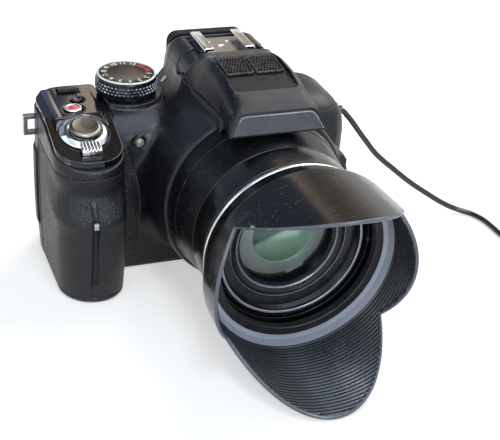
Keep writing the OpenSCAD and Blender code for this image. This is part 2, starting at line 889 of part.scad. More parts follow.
// Base sheet of the hot shoe, with its contact hole pattern
contact_r = 1.6;
small_contact_r = 0.7;
contact_dx = 3.6;
contact_dy = 4.4;
module shoe_plate() {
    color(chrome)
        difference() {
            span([-shoe_out_hw, shoe_mid_y - shoe_l / 2, shoe_floor_z - shoe_t],
                [shoe_out_hw, shoe_mid_y + shoe_l / 2, shoe_floor_z]);
            translate([0, shoe_mid_y, shoe_floor_z - 0.5])
                cylinder(h = 2, r = contact_r);
            for (side = [-1, 1])
                translate([side * contact_dx, shoe_mid_y + contact_dy, shoe_floor_z - 0.5])
                    cylinder(h = 2, r = small_contact_r);
        }
}

// Rails of the hot shoe, each a folded lip
module shoe_rails() {
    color(chrome)
        for (side = [0, 1])
            mirror([side, 0, 0])
                translate([0, shoe_mid_y + shoe_l / 2, shoe_floor_z])
                    rotate([90, 0, 0])
                        linear_extrude(shoe_l)
                            polygon([[shoe_w / 2, 0], [shoe_out_hw, 0], [shoe_out_hw, shoe_h + shoe_t],
                                [shoe_mouth / 2, shoe_h + shoe_t], [shoe_mouth / 2, shoe_h], [shoe_w / 2, shoe_h]]);
}

// Clear dome of the focus lamp
module af_lamp() {
    color("white")
        intersection() {
            y_rod(lamp_x, -front_y - 4, -front_y + 3.5, lamp_z, lamp_r);
            translate([lamp_x, -front_y + 2, lamp_z])
                sphere(r = 4);
        }
}

// Rectangular wire loops for the strap, one at each side
lug_y = 14;
lug_z = 56;
left_lug_z = 49;
lug_w = 2.4;
lug_h = 8;
lug_out = 4.4;
lug_wire = 1.5;
module strap_loop() {
    difference() {
        translate([0, -lug_w / 2, -lug_h / 2])
            cube([lug_out, lug_w, lug_h]);
        translate([-1, -lug_w, -lug_h / 2 + lug_wire])
            cube([lug_out + 1 - lug_wire, 2 * lug_w, lug_h - 2 * lug_wire]);
    }
}
module strap_lugs() {
    color(chrome) {
        translate([-grip_x, lug_y, lug_z])
            mirror([1, 0, 0])
                strap_loop();
        translate([left_x, lug_y, left_lug_z])
            strap_loop();
    }
}

light_r = 9;
// Fixed lens tube: cone outside, sleeve in the collar, closed behind but for the light path
module lens_tube() {
    color(satin)
        lens_turned([[light_r, sleeve_back_h], [sleeve_r, sleeve_back_h], [sleeve_r, tube_h],
            [tube_r, tube_h], [tube_front_r, band_h], [tube_in_r, band_h], [tube_in_r, sleeve_back_h + 3],
            [light_r, sleeve_back_h + 3]]);
}

// Band in front of the tube
module barrel_band() {
    color(black)
        lens_turned([[tube_in_r, band_h], [tube_front_r + 0.2, band_h], [tube_front_r + 0.7, ring_h],
            [tube_in_r, ring_h]]);
}

// Bright ring at the end of the fixed barrel
module silver_ring() {
    color(chrome)
        lens_turned([[tube_in_r, ring_h], [tube_front_r + 1.2, ring_h], [tube_front_r + 1.5, ring_h + 0.8],
            [tube_front_r + 1.1, front_h], [tube_in_r, front_h]]);
}

// Soft eyecup around the eyepiece
module eyecup() {
    color(rubber)
        translate([0, rear_y + evf_out + 4.5, eye_z])
            rotate([90, 0, 0])
                difference() {
                    rounded_slab(eye_w + 7, eye_h + 3, 4.5, 4);
                    translate([0, 0, -1])
                        rounded_slab(eye_w - 5, eye_h - 4, 8, 2);
                }
}

// Eyepiece glass in the tunnel
module eyepiece_lens() {
    color(glass)
        translate([0, rear_y + evf_out - 1, eye_z])
            rotate([90, 0, 0])
                rounded_slab(eye_w - 5, eye_h - 4, 3, 2);
}

// Threaded bush of the tripod socket
module tripod_bush() {
    color(brass)
        difference() {
            cylinder(h = bush_h, r = bush_r);
            translate([0, 0, -1])
                cylinder(h = tripod_l + 1, r = tripod_r);
        }
}

// Main circuit board behind the sensor
board_x0 = -grip_in_x + wall + 4;
board_x1 = left_x - 15;
board_z0 = 12;
board_z1 = deck_z - 7;
module main_board() {
    color(green)
        span([board_x0, board_y, board_z0], [board_x1, board_y + board_t, board_z1]);
}

// Image sensor on the back of the tube
sensor_w = 22;
sensor_h = 18;
module image_sensor() {
    color("#30343a")
        span([-sensor_w / 2, sensor_y, lens_z - sensor_h / 2],
            [sensor_w / 2, sensor_y + sensor_t, lens_z + sensor_h / 2]);
}

// Battery in the grip
module battery() {
    color("#3a3d42")
        span([bay_x0 + gap, bay_y0 + gap, door_t + 2 * gap],
            [card_x - gap, bay_y1 - gap, door_t + 2 * gap + battery_h]);
}

// Memory card beside the battery
card_w = 24;
card_l = 32;
module memory_card() {
    color("#24375c")
        span([card_x, bay_y0 + gap, door_t + 2 * gap],
            [card_x + card_t, bay_y0 + gap + card_w, door_t + 2 * gap + card_l]);
}

// Small loudspeaker on the left wall
speaker_t = 4;
speaker_r = 5;
speaker_y = 9;
speaker_z = 47;
module speaker() {
    color("#555a60")
        x_rod(left_x - wall - speaker_t, left_x - wall, speaker_y, speaker_z, speaker_r);
}

// Flash capacitor standing in the left end
capacitor_r = 5;
capacitor_h = 38;
capacitor_y = 1;
module flash_capacitor() {
    color("#3b4a66")
        translate([left_x - wall - capacitor_r - 1.6, capacitor_y, wall])
            cylinder(h = capacitor_h, r = capacitor_r);
}

// Zoom motor beside the tube
motor_r = 5;
motor_z = 9;
module zoom_motor() {
    color("#8d9299")
        y_rod(-grip_in_x + wall + motor_r + 0.4, -front_y + wall, board_y, motor_z, motor_r);
}

// Pins of the flash head, the screen and the doors
module hinge_pins() {
    color(chrome) {
        for (side = [0, 1])
            mirror([side, 0, 0])
                x_rod(arm_in_x - 4, pin_end_x, flash_axis_y, flash_axis_z, flash_pin_r);
        translate([screen_axis_x, screen_axis_y, screen_z0])
            cylinder(h = screen_h, r = screen_pin_r);
    }
}

// Petal hood: a flared shell cut to four petals, with a stepped collar behind
hood_back_h = front_h + gap;
hood_lip_h = front_h + 5.4;
hood_lip_r = outer_r + gap + 0.2;
hood_foot_h = hood_lip_h + 4;
hood_rim_steps = 14;
function hood_out_r(h) = mix(hood_r, hood_tip_r, (h - hood_lip_h) / (hood_tip_h - hood_lip_h));
function petal_h(a) = mix(hood_tip_h, hood_notch_h, pow(a / hood_span, 2));
function side_h(a) = hood_notch_h + hood_side * (1 - pow((a - 90) / (90 - hood_span), 2));
// Rim in side view, from the tip of the top petal to the notch and on to the middle of the side
rim_petal = [for (i = [0 : hood_rim_steps])
    let (a = hood_span * i / hood_rim_steps)
    [petal_h(a), hood_out_r(petal_h(a)) * cos(a)]];
rim_side = [for (i = [0 : hood_rim_steps / 2])
    let (a = mix(hood_span, 90, i * 2 / hood_rim_steps))
    [side_h(a), hood_out_r(side_h(a)) * cos(a)]];
rim_half = concat(rim_petal, rim_side);
rim = concat([[hood_tip_h, hood_tip_r + 5]], rim_half,
    [for (i = [len(rim_half) - 2 : -1 : 0]) [rim_half[i][0], -rim_half[i][1]]], [[hood_tip_h, -hood_tip_r - 5]]);
module hood_shell() {
    lens_turned([[tube_front_r + 0.2, hood_back_h], [tube_front_r + 1.6, hood_back_h],
        [tube_front_r + 2, hood_back_h + 1.2], [hood_r - 1.8, hood_lip_h - 1.4], [hood_r - 0.7, hood_lip_h + 1.6],
        [hood_out_r(hood_foot_h), hood_foot_h], [hood_tip_r, hood_tip_h], [hood_tip_r - hood_wall, hood_tip_h],
        [hood_r - hood_wall - 0.3, hood_lip_h + 3.4], [hood_r - hood_wall - 1.6, hood_lip_h],
        [hood_lip_r + 1, hood_lip_h - 0.6], [hood_lip_r, hood_lip_h - 1], [hood_lip_r, hood_lip_h - 2.4],
        [tube_front_r + 0.2, hood_lip_h - 3.2]]);
}
module lens_hood() {
    color(gloss)
        intersection() {
            hood_shell();
            translate([-big / 2, 0, lens_z])
                rotate([90, 0, 90])
                    linear_extrude(big)
                        polygon(concat([for (p = rim) [-p[0], p[1]]], [[0, -big], [0, big]]));
        }
}

// First zoom barrel, sliding in the fixed tube
module zoom_barrel_outer() {
    color(satin)
        lens_turned([[outer_in_r - 3, barrel_back_h], [outer_r, barrel_back_h], [outer_r, front_face_h - 2.5],
            [outer_in_r, front_face_h - 2.5], [outer_in_r, barrel_back_h + 2], [outer_in_r - 3, barrel_back_h + 2]]);
}

// Second zoom barrel, with the filter thread at its front
module zoom_barrel_inner() {
    color(black)
        lens_turned([[thread_r, inner_back_h], [inner_r, inner_back_h], [inner_r, front_face_h],
            [thread_r, front_face_h], [thread_r, front_face_h - thread_l], [glass_r + 4, front_face_h - thread_l],
            [glass_r + 4, front_face_h - thread_l - 2], [glass_r, front_face_h - thread_l - 2],
            [glass_r, front_face_h - thread_l - 14], [thread_r, front_face_h - thread_l - 14]]);
}

// Plain ring between the filter thread and the glass
module name_ring() {
    color(gloss)
        lens_turned([[glass_r + 1, front_face_h - thread_l - 2], [glass_r + 4, front_face_h - thread_l - 2],
            [glass_r + 4, front_face_h - thread_l - 0.2], [glass_r + 3, front_face_h - thread_l - 0.2],
            [glass_r + 1, front_face_h - thread_l - 1.4]]);
}

// Front glass, a plano-convex lens
front_glass_t = 8;
front_glass_h = front_face_h - thread_l - 3;
glass_sphere_r = 44;
module front_lens() {
    color(glass)
        intersection() {
            lens_ring(0, glass_r, front_glass_h - front_glass_t, front_glass_h + 2);
            translate([0, -(front_glass_h - glass_sphere_r), lens_z])
                sphere(r = glass_sphere_r);
        }
}

// Rear lens group, carried in the first barrel's back flange
rear_lens_t = 5;
module rear_lens() {
    color(glass)
        lens_ring(0, outer_in_r - 3, barrel_back_h, barrel_back_h + rear_lens_t);
}

// Mode dial with its skirt, rim and stem
module mode_dial() {
    color(black)
        translate([dial_x, dial_y, dial_seat_z + gap])
            rotate_extrude()
                polygon([[0, -dial_stem_l], [dial_stem_r, -dial_stem_l], [dial_stem_r, 0], [dial_r - 0.5, 0],
                    [dial_r - 0.5, 1.2], [dial_r, 1.6], [dial_r, dial_h - 1.2], [dial_r - 0.9, dial_h],
                    [dial_r - 1.9, dial_h], [dial_r - 1.9, dial_h - 0.8], [0, dial_h - 0.8]]);
}

// Dished face set into the mode dial's rim
module dial_face() {
    color(satin)
        translate([dial_x, dial_y, dial_seat_z + gap])
            rotate_extrude()
                polygon([[0, dial_h - 0.8], [dial_r - 1.9, dial_h - 0.8], [dial_r - 1.9, dial_h - 0.1],
                    [dial_r - 5, dial_h - 0.2], [0, dial_h - 0.5]]);
}

// Shutter button: a low dome on a stem
module shutter_button() {
    color(chrome)
        on_tilt(shutter_x, shutter_s)
            rotate_extrude()
                polygon([[0, -panel_floor], [shutter_r - 1, -panel_floor], [shutter_r - 1, shutter_low],
                    [shutter_r, shutter_low], [shutter_r, shutter_low + 0.4], [shutter_r - 1.4, shutter_low + 0.8],
                    [shutter_r - 3.4, shutter_low + 1.05], [0, shutter_low + 1.1]]);
}

// Zoom lever: a chamfered ring round the shutter button with a ridged tab in front
tab_w = 7.4;
tab_reach = 12.4;
module zoom_lever() {
    color(chrome)
        on_tilt(shutter_x, shutter_s)
            difference() {
                union() {
                    rotate_extrude()
                        polygon([[shutter_r - 1 + gap, lever_seat], [lever_r, lever_seat], [lever_r, lever_seat + 0.6],
                            [lever_r - 1.8, lever_seat + lever_t], [shutter_r - 1 + gap, lever_seat + lever_t]]);
                    translate([-tab_w / 2, -tab_reach, lever_seat])
                        cube([tab_w, tab_reach - shutter_r - 0.6, lever_t + 0.6]);
                }
                translate([0, 0, -1])
                    cylinder(h = 8, r = shutter_r - 1 + gap);
                for (i = [-2 : 2])
                    translate([i * 1.4 - 0.25, -tab_reach - 1, lever_seat + lever_t])
                        cube([0.5, tab_reach - shutter_r - 2.5, 2]);
            }
}

// A round push button on the panel
module panel_button(x, y, r, proud) {
    translate([x, y, panel_z])
        rotate_extrude()
            polygon([[0, -panel_floor + press + 0.3], [r, -panel_floor + press + 0.3], [r, proud - 0.4],
                [r - 0.5, proud], [r * 0.6, proud], [r * 0.5, proud - 0.3], [0, proud - 0.3]]);
}
module movie_button() {
    color(chrome)
        panel_button(movie_x, movie_y, movie_r, 1.4);
}
module burst_button() {
    color(gloss)
        panel_button(burst_x, burst_y, burst_r, 1.2);
}

// Ridged sliding power switch
module power_switch() {
    color(black)
        difference() {
            span([power_x - power_w / 2, power_y - power_d / 2, panel_z - panel_t],
                [power_x + power_w / 2, power_y + power_d / 2, panel_z + 1.8]);
            for (i = [-2 : 2])
                translate([power_x + i * 1.3 - 0.3, power_y - power_d, panel_z + 1.3])
                    cube([0.6, 2 * power_d, 2]);
        }
}

// Flash head: a beak over the barrel that tilts up about two arms
flash_stations = [[flash_rear_y, 20.8, 14.6, 2.0], [-14, 19.6, 15, 0], [-26, 18.2, 15.2, 0.7],
    [-36, 17.2, 15.5, 3.1], [-42, 17.6, 15.6, 4.9]];
function flash_low(y) = y > flash_step_y
    ? mix(flash_seam_z, flash_seam_front_z, (flash_rear_y - y) / (flash_rear_y - flash_step_y))
    : mix(flash_seam_front_z, flash_nose_low_z + 0.4, min(1, (flash_step_y - y) / 6));
function flash_half(low_hw, top_hw, low, top) = [[low_hw, low], [mix(low_hw, top_hw, 0.6), mix(low, top, 0.55)],
    [top_hw + 0.4, top - 1.6], [top_hw - 0.6, top - 0.5], [top_hw - 2.4, top]];
function nose(points, out) = [for (p = points)
    [p[0], -flash_nose_y - out - flash_nose_lean * (flash_nose_top_z - p[1]) / (flash_nose_top_z - flash_nose_low_z), p[1]]];
nose_half = flash_half(18.7, 15.7, flash_nose_low_z, flash_nose_top_z);
module flash_body() {
    loft(concat([for (s = flash_stations)
        stand(both_sides(flash_half(s[1], s[2], flash_low(s[0]), flash_top_z - s[3])), s[0])],
        [nose(both_sides(nose_half), 0)]));
}
// The arms are rounded over like the viewfinder housing behind them
module arm_skin() {
    section = both_sides(evf_half(evf_hw, evf_z));
    loft([stand(section, flash_axis_y + flash_arm_r + 1), stand(section, flash_rear_y - 4)]);
}
module flash_arms() {
    intersection() {
        arm_skin();
        for (side = [0, 1])
            mirror([side, 0, 0]) {
                x_rod(arm_in_x, arm_out_x, flash_axis_y, flash_axis_z, flash_arm_r);
                span([arm_in_x, flash_rear_y - 3, flash_seam_z], [arm_out_x, flash_axis_y, flash_axis_z + flash_arm_r]);
            }
    }
}
lamp_hw = 12;
lamp_y0 = -flash_nose_y + 0.5;
lamp_y1 = -flash_nose_y + 8.5;
lamp_roof_z = 81;
lamp_window_z = 77;
lamp_window_t = 1.4;
lamp_tube_r = 1.2;
module flash_head() {
    color(black)
        difference() {
            union() {
                flash_body();
                flash_arms();
            }
            span([-lamp_hw, lamp_y0, 60], [lamp_hw, lamp_y1, lamp_roof_z]);
            mic_recess();
            for (side = [0, 1])
                mirror([side, 0, 0])
                    x_rod(arm_in_x - 1, pin_end_x + gap, flash_axis_y, flash_axis_z, flash_pin_r + gap);
        }
}

// Bare front plate of the flash head
module flash_plate() {
    color("#4a4e56")
        loft([nose(both_sides(flash_half(17.6, 14.8, flash_nose_low_z + 0.6, flash_nose_top_z - 0.6)), 0),
            nose(both_sides(flash_half(17.2, 14.4, flash_nose_low_z + 0.9, flash_nose_top_z - 0.9)), 0.7)]);
}

// Sunk field in the flash head's top and the two microphone grilles in it
mic_y = -22;
mic_l = 27;
mic_hw = 12.6;
mic_tilt = 5.5;
mic_sink = 2;
grille_w = 10.4;
grille_l = 12;
grille_x = 5.9;
grille_bars = 5;
module on_mic_field() {
    translate([0, mic_y, flash_top_z - mic_sink])
        rotate([mic_tilt, 0, 0])
            children();
}
module mic_recess() {
    on_mic_field()
        rounded_slab(2 * mic_hw, mic_l, 10, 2.5);
}
module mic_grilles() {
    color(satin)
        on_mic_field()
            for (side = [-1, 1])
                translate([side * grille_x, 4.5, 0])
                    difference() {
                        rounded_slab(grille_w, grille_l, 0.9, 1);
                        for (i = [0 : grille_bars - 1])
                            translate([0, (i - (grille_bars - 1) / 2) * 2.1, 0.3])
                                rotate([0, 0, 30])
                                    translate([-3.4, -0.4, 0])
                                        cube([6.8, 0.8, 2]);
                    }
}

// Flash window and tube in the nose
module flash_window() {
    color("white")
        span([-lamp_hw, lamp_y0, lamp_window_z], [lamp_hw, lamp_y1, lamp_window_z + lamp_window_t]);
}
module flash_tube() {
    color("ivory")
        x_rod(-lamp_hw, lamp_hw, (lamp_y0 + lamp_y1) / 2, lamp_roof_z - lamp_tube_r, lamp_tube_r);
}

// Button that lets the flash up, in the hump's left flank
module flash_button() {
    color(black)
        x_rod(16, 24, flash_button_y, flash_button_z, flash_button_r);
}

// Side lever and focus switch on the lens collar
module side_zoom_lever() {
    color(black)
        side_slider(side_lever_z, side_lever_l, side_lever_w);
}
module focus_switch() {
    color(black)
        side_slider(side_switch_z, side_switch_l, side_lever_w - 1);
}

// Swivel screen: shell with its hinge barrel, and the display glass on its hidden face
module screen_shell() {
    color(black)
        difference() {
            union() {
                translate([(screen_x0 + screen_x1) / 2, screen_y1, (screen_z0 + screen_z1) / 2])
                    rotate([90, 0, 0])
                        rounded_slab(screen_w, screen_h, screen_t, 3);
                translate([screen_axis_x, screen_axis_y, knuckle_z0])
                    cylinder(h = knuckle_z1 - knuckle_z0, r = screen_hinge_r);
                span([screen_x1 - 4, screen_y1 - 2.2, knuckle_z0], [screen_axis_x, screen_y1, knuckle_z1]);
            }
            translate([screen_axis_x, screen_axis_y, 0])
                cylinder(h = 100, r = screen_pin_r + gap);
            screen_sink();
        }
}
module screen_sink() {
    span([screen_x0 + 4, screen_y1 - 1, screen_z0 + 4], [screen_x1 - 5, screen_y1 + 1, screen_z1 - 4]);
}
module screen_glass() {
    color("#101418")
        span([screen_x0 + 4, screen_y1 - 1, screen_z0 + 4], [screen_x1 - 5, screen_y1 - 0.1, screen_z1 - 4]);
}

// Small wheel that sets the eyepiece
module dioptre_dial() {
    color(black) {
        x_rod(dioptre_x, dioptre_x + dioptre_t, dioptre_y, dioptre_z, dioptre_r);
        x_rod(dioptre_x - 3, dioptre_x + eps, dioptre_y, dioptre_z, 1.2);
    }
}

// Thumb dial on the back
module rear_dial() {
    color(black)
        translate([thumb_x, thumb_y, thumb_z - thumb_t / 2])
            union() {
                cylinder(h = thumb_t, r = thumb_r);
                translate([0, 0, -1.6])
                    cylinder(h = thumb_t + 3.2, r = 1);
            }
}

// Push buttons on the back
module evf_button() {
    color(black)
        back_button(evf_button_x, evf_button_z, evf_button_r);
}
module lock_button() {
    color(black)
        back_button(lock_x, upper_z, small_r);
}
module play_button() {
    color(black)
        back_button(play_x, upper_z, small_r);
}
module cursor_pad() {
    color(black)
        difference() {
            back_button(pad_x, pad_z, pad_r);
            y_rod(pad_x, rear_y - 20, rear_y + 5, pad_z, set_r + gap);
        }
}
module set_button() {
    color(black)
        y_rod(pad_x, rear_y - back_wall - flange_t, rear_y + 1, pad_z, set_r);
}
module display_button() {
    color(black)
        back_button(display_x, lower_z, small_r);
}
module delete_button() {
    color(black)
        back_button(delete_x, lower_z, small_r);
}

// Door under the battery
module battery_door() {
    color(black)
        union() {
            span([door_x0, door_y0, 0], [door_axis_x, door_y1, door_t]);
            y_rod(door_axis_x, door_y0, door_y1, door_t / 2, door_t / 2);
        }
}

// Door over the sockets in the left side
module socket_door() {
    color(black)
        union() {
            span([left_x - door_t, socket_axis_y, socket_z0], [left_x, socket_y1, socket_z1]);
            translate([socket_axis_x, socket_axis_y, socket_z0])
                cylinder(h = socket_z1 - socket_z0, r = door_t / 2);
        }
}

// Route of the cap's string, from the left strap loop down to the table and out to the cap
string_route = [[54.3, 13.8, 50], [56, 13.5, 49.5], [59, 12.4, 46.6], [62, 11.4, 42.8], [65, 10.8, 38.8],
    [68, 10, 35], [72, 9, 30], [76, 8, 26.2], [80.5, 7, 22.5], [84, 6, 19.6], [88, 5, 16.4], [92.5, 3.8, 13.2],
    [97, 2.8, 10.2], [101, 1.8, 7.6], [105, 0.8, 5.2], [109.5, -0.4, 3], [113.5, -2, 1.7], [116.5, -4.4, 1.3],
    [118.4, -7.6, 1.3], [119.8, -12, 1.3], [120.4, -18, 1.3], [120.8, -25, 1.3], [122, -31, 1.3],
    [124.4, -36, 1.3], [127.4, -39.6, 1.6], [130.1, -41.2, 1.8]];
string_sides = 8;
function along(i) = let (a = string_route[max(0, i - 1)], b = string_route[min(len(string_route) - 1, i + 1)])
    (b - a) / norm(b - a);
function across(d) = let (v = cross([0, 0, 1], d)) v / norm(v);
module cap_string() {
    color(gloss)
        loft([for (i = [0 : len(string_route) - 1])
            let (d = along(i), u = across(d), w = cross(d, u))
            [for (k = [0 : string_sides - 1])
                string_route[i] + string_d / 2 * (u * cos(360 * k / string_sides) + w * sin(360 * k / string_sides))]]);
}

// Lens cap lying on the table at the end of its string
cap_x = 155;
cap_y = -56;
cap_eye_w = 6;
cap_eye_h = 3.6;
cap_eye_gap = 0.15;
cap_turn = 149.3;
module lens_cap() {
    color(gloss)
        translate([cap_x, cap_y, 0])
            difference() {
                union() {
                    rotate_extrude()
                        polygon([[0, 0], [cap_r - 0.6, 0], [cap_r, 0.6], [cap_r, cap_t - 0.8],
                            [cap_r - 0.8, cap_t], [cap_r - 4, cap_t], [cap_r - 5, cap_t - 0.8], [0, cap_t - 0.8]]);
                    rotate([0, 0, cap_turn])
                        translate([cap_r - 2, -cap_eye_w / 2, 0])
                            cube([5, cap_eye_w, cap_eye_h]);
                }
                rotate([0, 0, cap_turn])
                    translate([cap_r + 0.2, 0, cap_eye_h / 2])
                        rotate([0, 90, 0])
                            cylinder(h = 10, r = string_d / 2 + cap_eye_gap);
            }
}

front_cover();
rear_cover();
top_cover();
grip_rubber();
thumb_rubber();
top_panel();
shoe_plate();
shoe_rails();
af_lamp();
strap_lugs();
lens_tube();
barrel_band();
silver_ring();
eyecup();
eyepiece_lens();
tripod_bush();
main_board();
image_sensor();
battery();
memory_card();
speaker();
flash_capacitor();
zoom_motor();
hinge_pins();
lens_hood();
zoom_barrel_outer();
zoom_barrel_inner();
name_ring();
front_lens();
rear_lens();
mode_dial();
dial_face();
shutter_button();
zoom_lever();
movie_button();
burst_button();
power_switch();
flash_head();
flash_plate();
mic_grilles();
flash_window();
flash_tube();
flash_button();
side_zoom_lever();
focus_switch();
screen_shell();
screen_glass();
dioptre_dial();
rear_dial();
evf_button();
lock_button();
play_button();
cursor_pad();
set_button();
display_button();
delete_button();
battery_door();
socket_door();
cap_string();
lens_cap();
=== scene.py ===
import math

import bmesh
import bpy
import numpy as np
from mathutils import Matrix, Vector
from mathutils.bvhtree import BVHTree


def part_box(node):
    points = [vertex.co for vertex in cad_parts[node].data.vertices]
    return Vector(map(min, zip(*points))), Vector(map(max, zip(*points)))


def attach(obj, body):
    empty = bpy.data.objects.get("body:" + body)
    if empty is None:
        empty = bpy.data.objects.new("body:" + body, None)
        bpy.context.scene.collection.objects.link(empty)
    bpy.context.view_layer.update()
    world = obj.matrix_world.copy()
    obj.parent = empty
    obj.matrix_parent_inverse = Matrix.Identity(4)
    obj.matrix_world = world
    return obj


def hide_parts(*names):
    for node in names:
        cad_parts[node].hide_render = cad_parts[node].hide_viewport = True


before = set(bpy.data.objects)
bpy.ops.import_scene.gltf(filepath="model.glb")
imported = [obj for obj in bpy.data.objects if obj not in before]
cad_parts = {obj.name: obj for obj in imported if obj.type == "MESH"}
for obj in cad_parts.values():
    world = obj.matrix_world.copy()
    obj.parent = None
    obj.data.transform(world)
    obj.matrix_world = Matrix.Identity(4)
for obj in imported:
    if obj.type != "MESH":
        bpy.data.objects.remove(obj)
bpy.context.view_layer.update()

# Bridge camera with a petal hood. Sizes are millimetres, in the frame of the CAD model:
# the lens looks along -Y, +Z is up and the grip is at -X. Lamps, cards and floor are in metres.
MM = 0.001

# Camera, fitted to the photograph
VIEW_AZIMUTH = -22.94
VIEW_ELEVATION = 29.83
VIEW_ROLL = 4.65
VIEW_DISTANCE = 458.76
VIEW_TARGET = (1.92, -25, 24.92)
VIEW_LENS = 84.43
SENSOR_WIDTH = 36

# Lens, as radii and heights in front of the origin
LENS_Z = 39.2
TUBE_R = 34.8
TUBE_FRONT_R = 31.9
TUBE_IN_R = 29.0
TUBE_BORE_R = 9
SLEEVE_R = 32.6
SLEEVE_BACK_H = 2
SLEEVE_FLOOR = 3
TUBE_H = 33
BAND_H = 53.5
RING_H = 69
FRONT_H = 71
FACE_H = 70.6
OUTER_R = 28.7
OUTER_IN_R = 27.5
OUTER_BACK_H = 14
OUTER_FLOOR_H = 16
INNER_R = 27.2
INNER_BACK_H = 22
THREAD_R = 26
THREAD_L = 4
THREAD_PITCH = 0.75
GLASS_R = 18
GLASS_H = 63.6
GLASS_SPHERE_R = 44
GLASS_T = 1.2
WELL_L = 14
CELL_R = 11.3
CELL_T = 3
BAFFLES = 5
BAFFLE_PITCH = 0.75

# Petal hood
HOOD_BACK_H = 71.3
HOOD_LIP_H = 76.4
HOOD_LIP_R = 29.2
HOOD_FOOT_H = 80.4
HOOD_R = 36.8
HOOD_TIP_R = 38.8
HOOD_TIP_H = 119
HOOD_NOTCH_H = 87.5
HOOD_SIDE = 7
HOOD_SPAN = 53
HOOD_WALL = 1.4
HOOD_EDGE = 0.55
RIB_PITCH = 1.55
RIB_DEPTH = 0.3
RIB_FIRST = 4.6

# Top controls
DIAL_X = -38.2
DIAL_Y = 13.8
DIAL_Z = 66.9
DIAL_R = 12.1
DIAL_H = 7.6
DIAL_STUDS = 46
DIAL_STUD_ROWS = (2.55, 3.8, 5.05)
DIAL_MARKS = 14
DIAL_REDS = (12, 13)
DIAL_FIRST = -18
POINTER_PLACE = (-21.9, 17.6, 68.6)
POINTER_LEAN = -53
PANEL_Z = 65.6
PANEL_TILT = 14
PANEL_BEND_Y = -2
PLATEAU_H = 0.55
STRIP_X = -68.6
STRIP_Y = 8
SHUTTER_X = -61
SHUTTER_S = 11
SHUTTER_R = 6
SHUTTER_LOW = 3.0
LEVER_R = 9.3
LEVER_SEAT = 0.3
LEVER_T = 1.8
LEVER_RIDGES = 6
LEVER_PITCH = 1.25
MOVIE_X = -61.6
MOVIE_Y = 2.6
MOVIE_R = 3.4
BURST_X = -58.5
BURST_Y = 10.5
BURST_R = 2.2
POWER_X = -60.4
POWER_Y = 20.1
BUTTON_FOOT = -3

# Microphone field on the flash head
MIC_Y = -22
MIC_Z = 86.3
MIC_TILT = 5.5
GRILLE_X = 5.9
GRILLE_W = 10.4
GRILLE_L = 12
GRILLE_OFF = 4.5
SLOT_COLUMNS = 8
SLOT_ROWS = 8
SLOT_X = 1.16
SLOT_Y = 1.34
SLOT_SLANT = 0.5

# Focus lamp and the groove in the grip
LAMP_X = -39.5
LAMP_Z = 56
LAMP_R = 1.9
FRONT_Y = -10
GROOVE_X = -62
GROOVE_HW = 1.25
GROOVE_DEEP = 1.1
GROOVE_LOW_Z = 8
GROOVE_TOP_Z = 44.5
GROOVE_FRONT_Y = -22
STUD_Y = -35.2
STUD_Z = 36.4

# Finger ridge across the grip and the hollow over it: height, half width, amount
RIDGE_Z, RIDGE_W, RIDGE_H = 37, 3.4, 1.3
HOLLOW_Z, HOLLOW_W, HOLLOW_H = 45.5, 3.4, 1.1
GRIP_X, GRIP_Y = -60, -14

# Leather pad beside the grip, bounded by a shallow arc on the front face and laid on it from PAD_CAST_Y
PAD_X = -38.6
PAD_MID_Z = 25
PAD_BOW = 180
PAD_IN_X = -48.8
PAD_LOW_Z = 3.6
PAD_TOP_Z = 55.4
PAD_T = 0.5
PAD_ROUND = 0.8
PAD_SUNK = 0.4
PAD_CAST_Y = -60

# Flash head's nose: plate from its lower to its upper edge, leaning forward below
NOSE_Y = -46
NOSE_LOW_Z = 73.9
NOSE_TOP_Z = 81.5
NOSE_LEAN = 3.5

# Accessory shoe: half widths, heights above its floor, and its length
SHOE_FLOOR_Z = 82.8
SHOE_MID_Y = 12.8
SHOE_L = 18.5
SHOE_IN = 9.35
SHOE_OUT = 10.35
SHOE_MOUTH = 6.3
SHOE_H = 2.1

# Back
REAR_Y = 26.5
SEAM_Z = 60
SEAM_LAP = 0.6
FLASH_BUTTON_Y = 2
FLASH_BUTTON_Z = 70.5

# Cap string: its route from the left strap loop to the cap, its thickness and its knot
STRING_D = 2.4
STRING_ROUTE = [
    (54.3, 13.8, 50), (56, 13.5, 49.5), (59, 12.4, 46.6), (62, 11.4, 42.8), (65, 10.8, 38.8),
    (68, 10, 35), (72, 9, 30), (76, 8, 26.2), (80.5, 7, 22.5), (84, 6, 19.6), (88, 5, 16.4),
    (92.5, 3.8, 13.2), (97, 2.8, 10.2), (101, 1.8, 7.6), (105, 0.8, 5.2), (109.5, -0.4, 3),
    (113.5, -2, 1.7), (116.5, -4.4, 1.3), (118.4, -7.6, 1.3), (119.8, -12, 1.3), (120.4, -18, 1.3),
    (120.8, -25, 1.3), (122, -31, 1.3), (124.4, -36, 1.3), (127.4, -39.6, 1.6), (130.1, -41.2, 1.8),
]
KNOT_X, KNOT_Y, KNOT_Z = 53.15, 14, 48.4
KNOT_RX, KNOT_RY, KNOT_H = 2.3, 2.6, 2.4
KNOT_POINTS = 48


def mm(x, y, z):
    return Vector((x, y, z)) * MM


def mix(a, b, t):
    return a + (b - a) * t


# Places: each matrix takes local millimetres to the frame's metres
def upright(x, y, z):
    return Matrix.Translation(mm(x, y, z)) @ Matrix.Scale(MM, 4)


def turned(x, y, z, degrees, axis):
    turn = Matrix.Rotation(math.radians(degrees), 4, axis)
    return Matrix.Translation(mm(x, y, z)) @ turn @ Matrix.Scale(MM, 4)


def on_tilt(x, s):
    tilt = math.radians(PANEL_TILT)
    return turned(x, PANEL_BEND_Y - s * math.cos(tilt), PANEL_Z - s * math.sin(tilt), PANEL_TILT, "X")


LENS = turned(0, 0, LENS_Z, 90, "X")
FOCUS_LAMP = turned(LAMP_X, FRONT_Y, LAMP_Z, 90, "X")
MIC_FIELD = turned(0, MIC_Y, MIC_Z, MIC_TILT, "X")


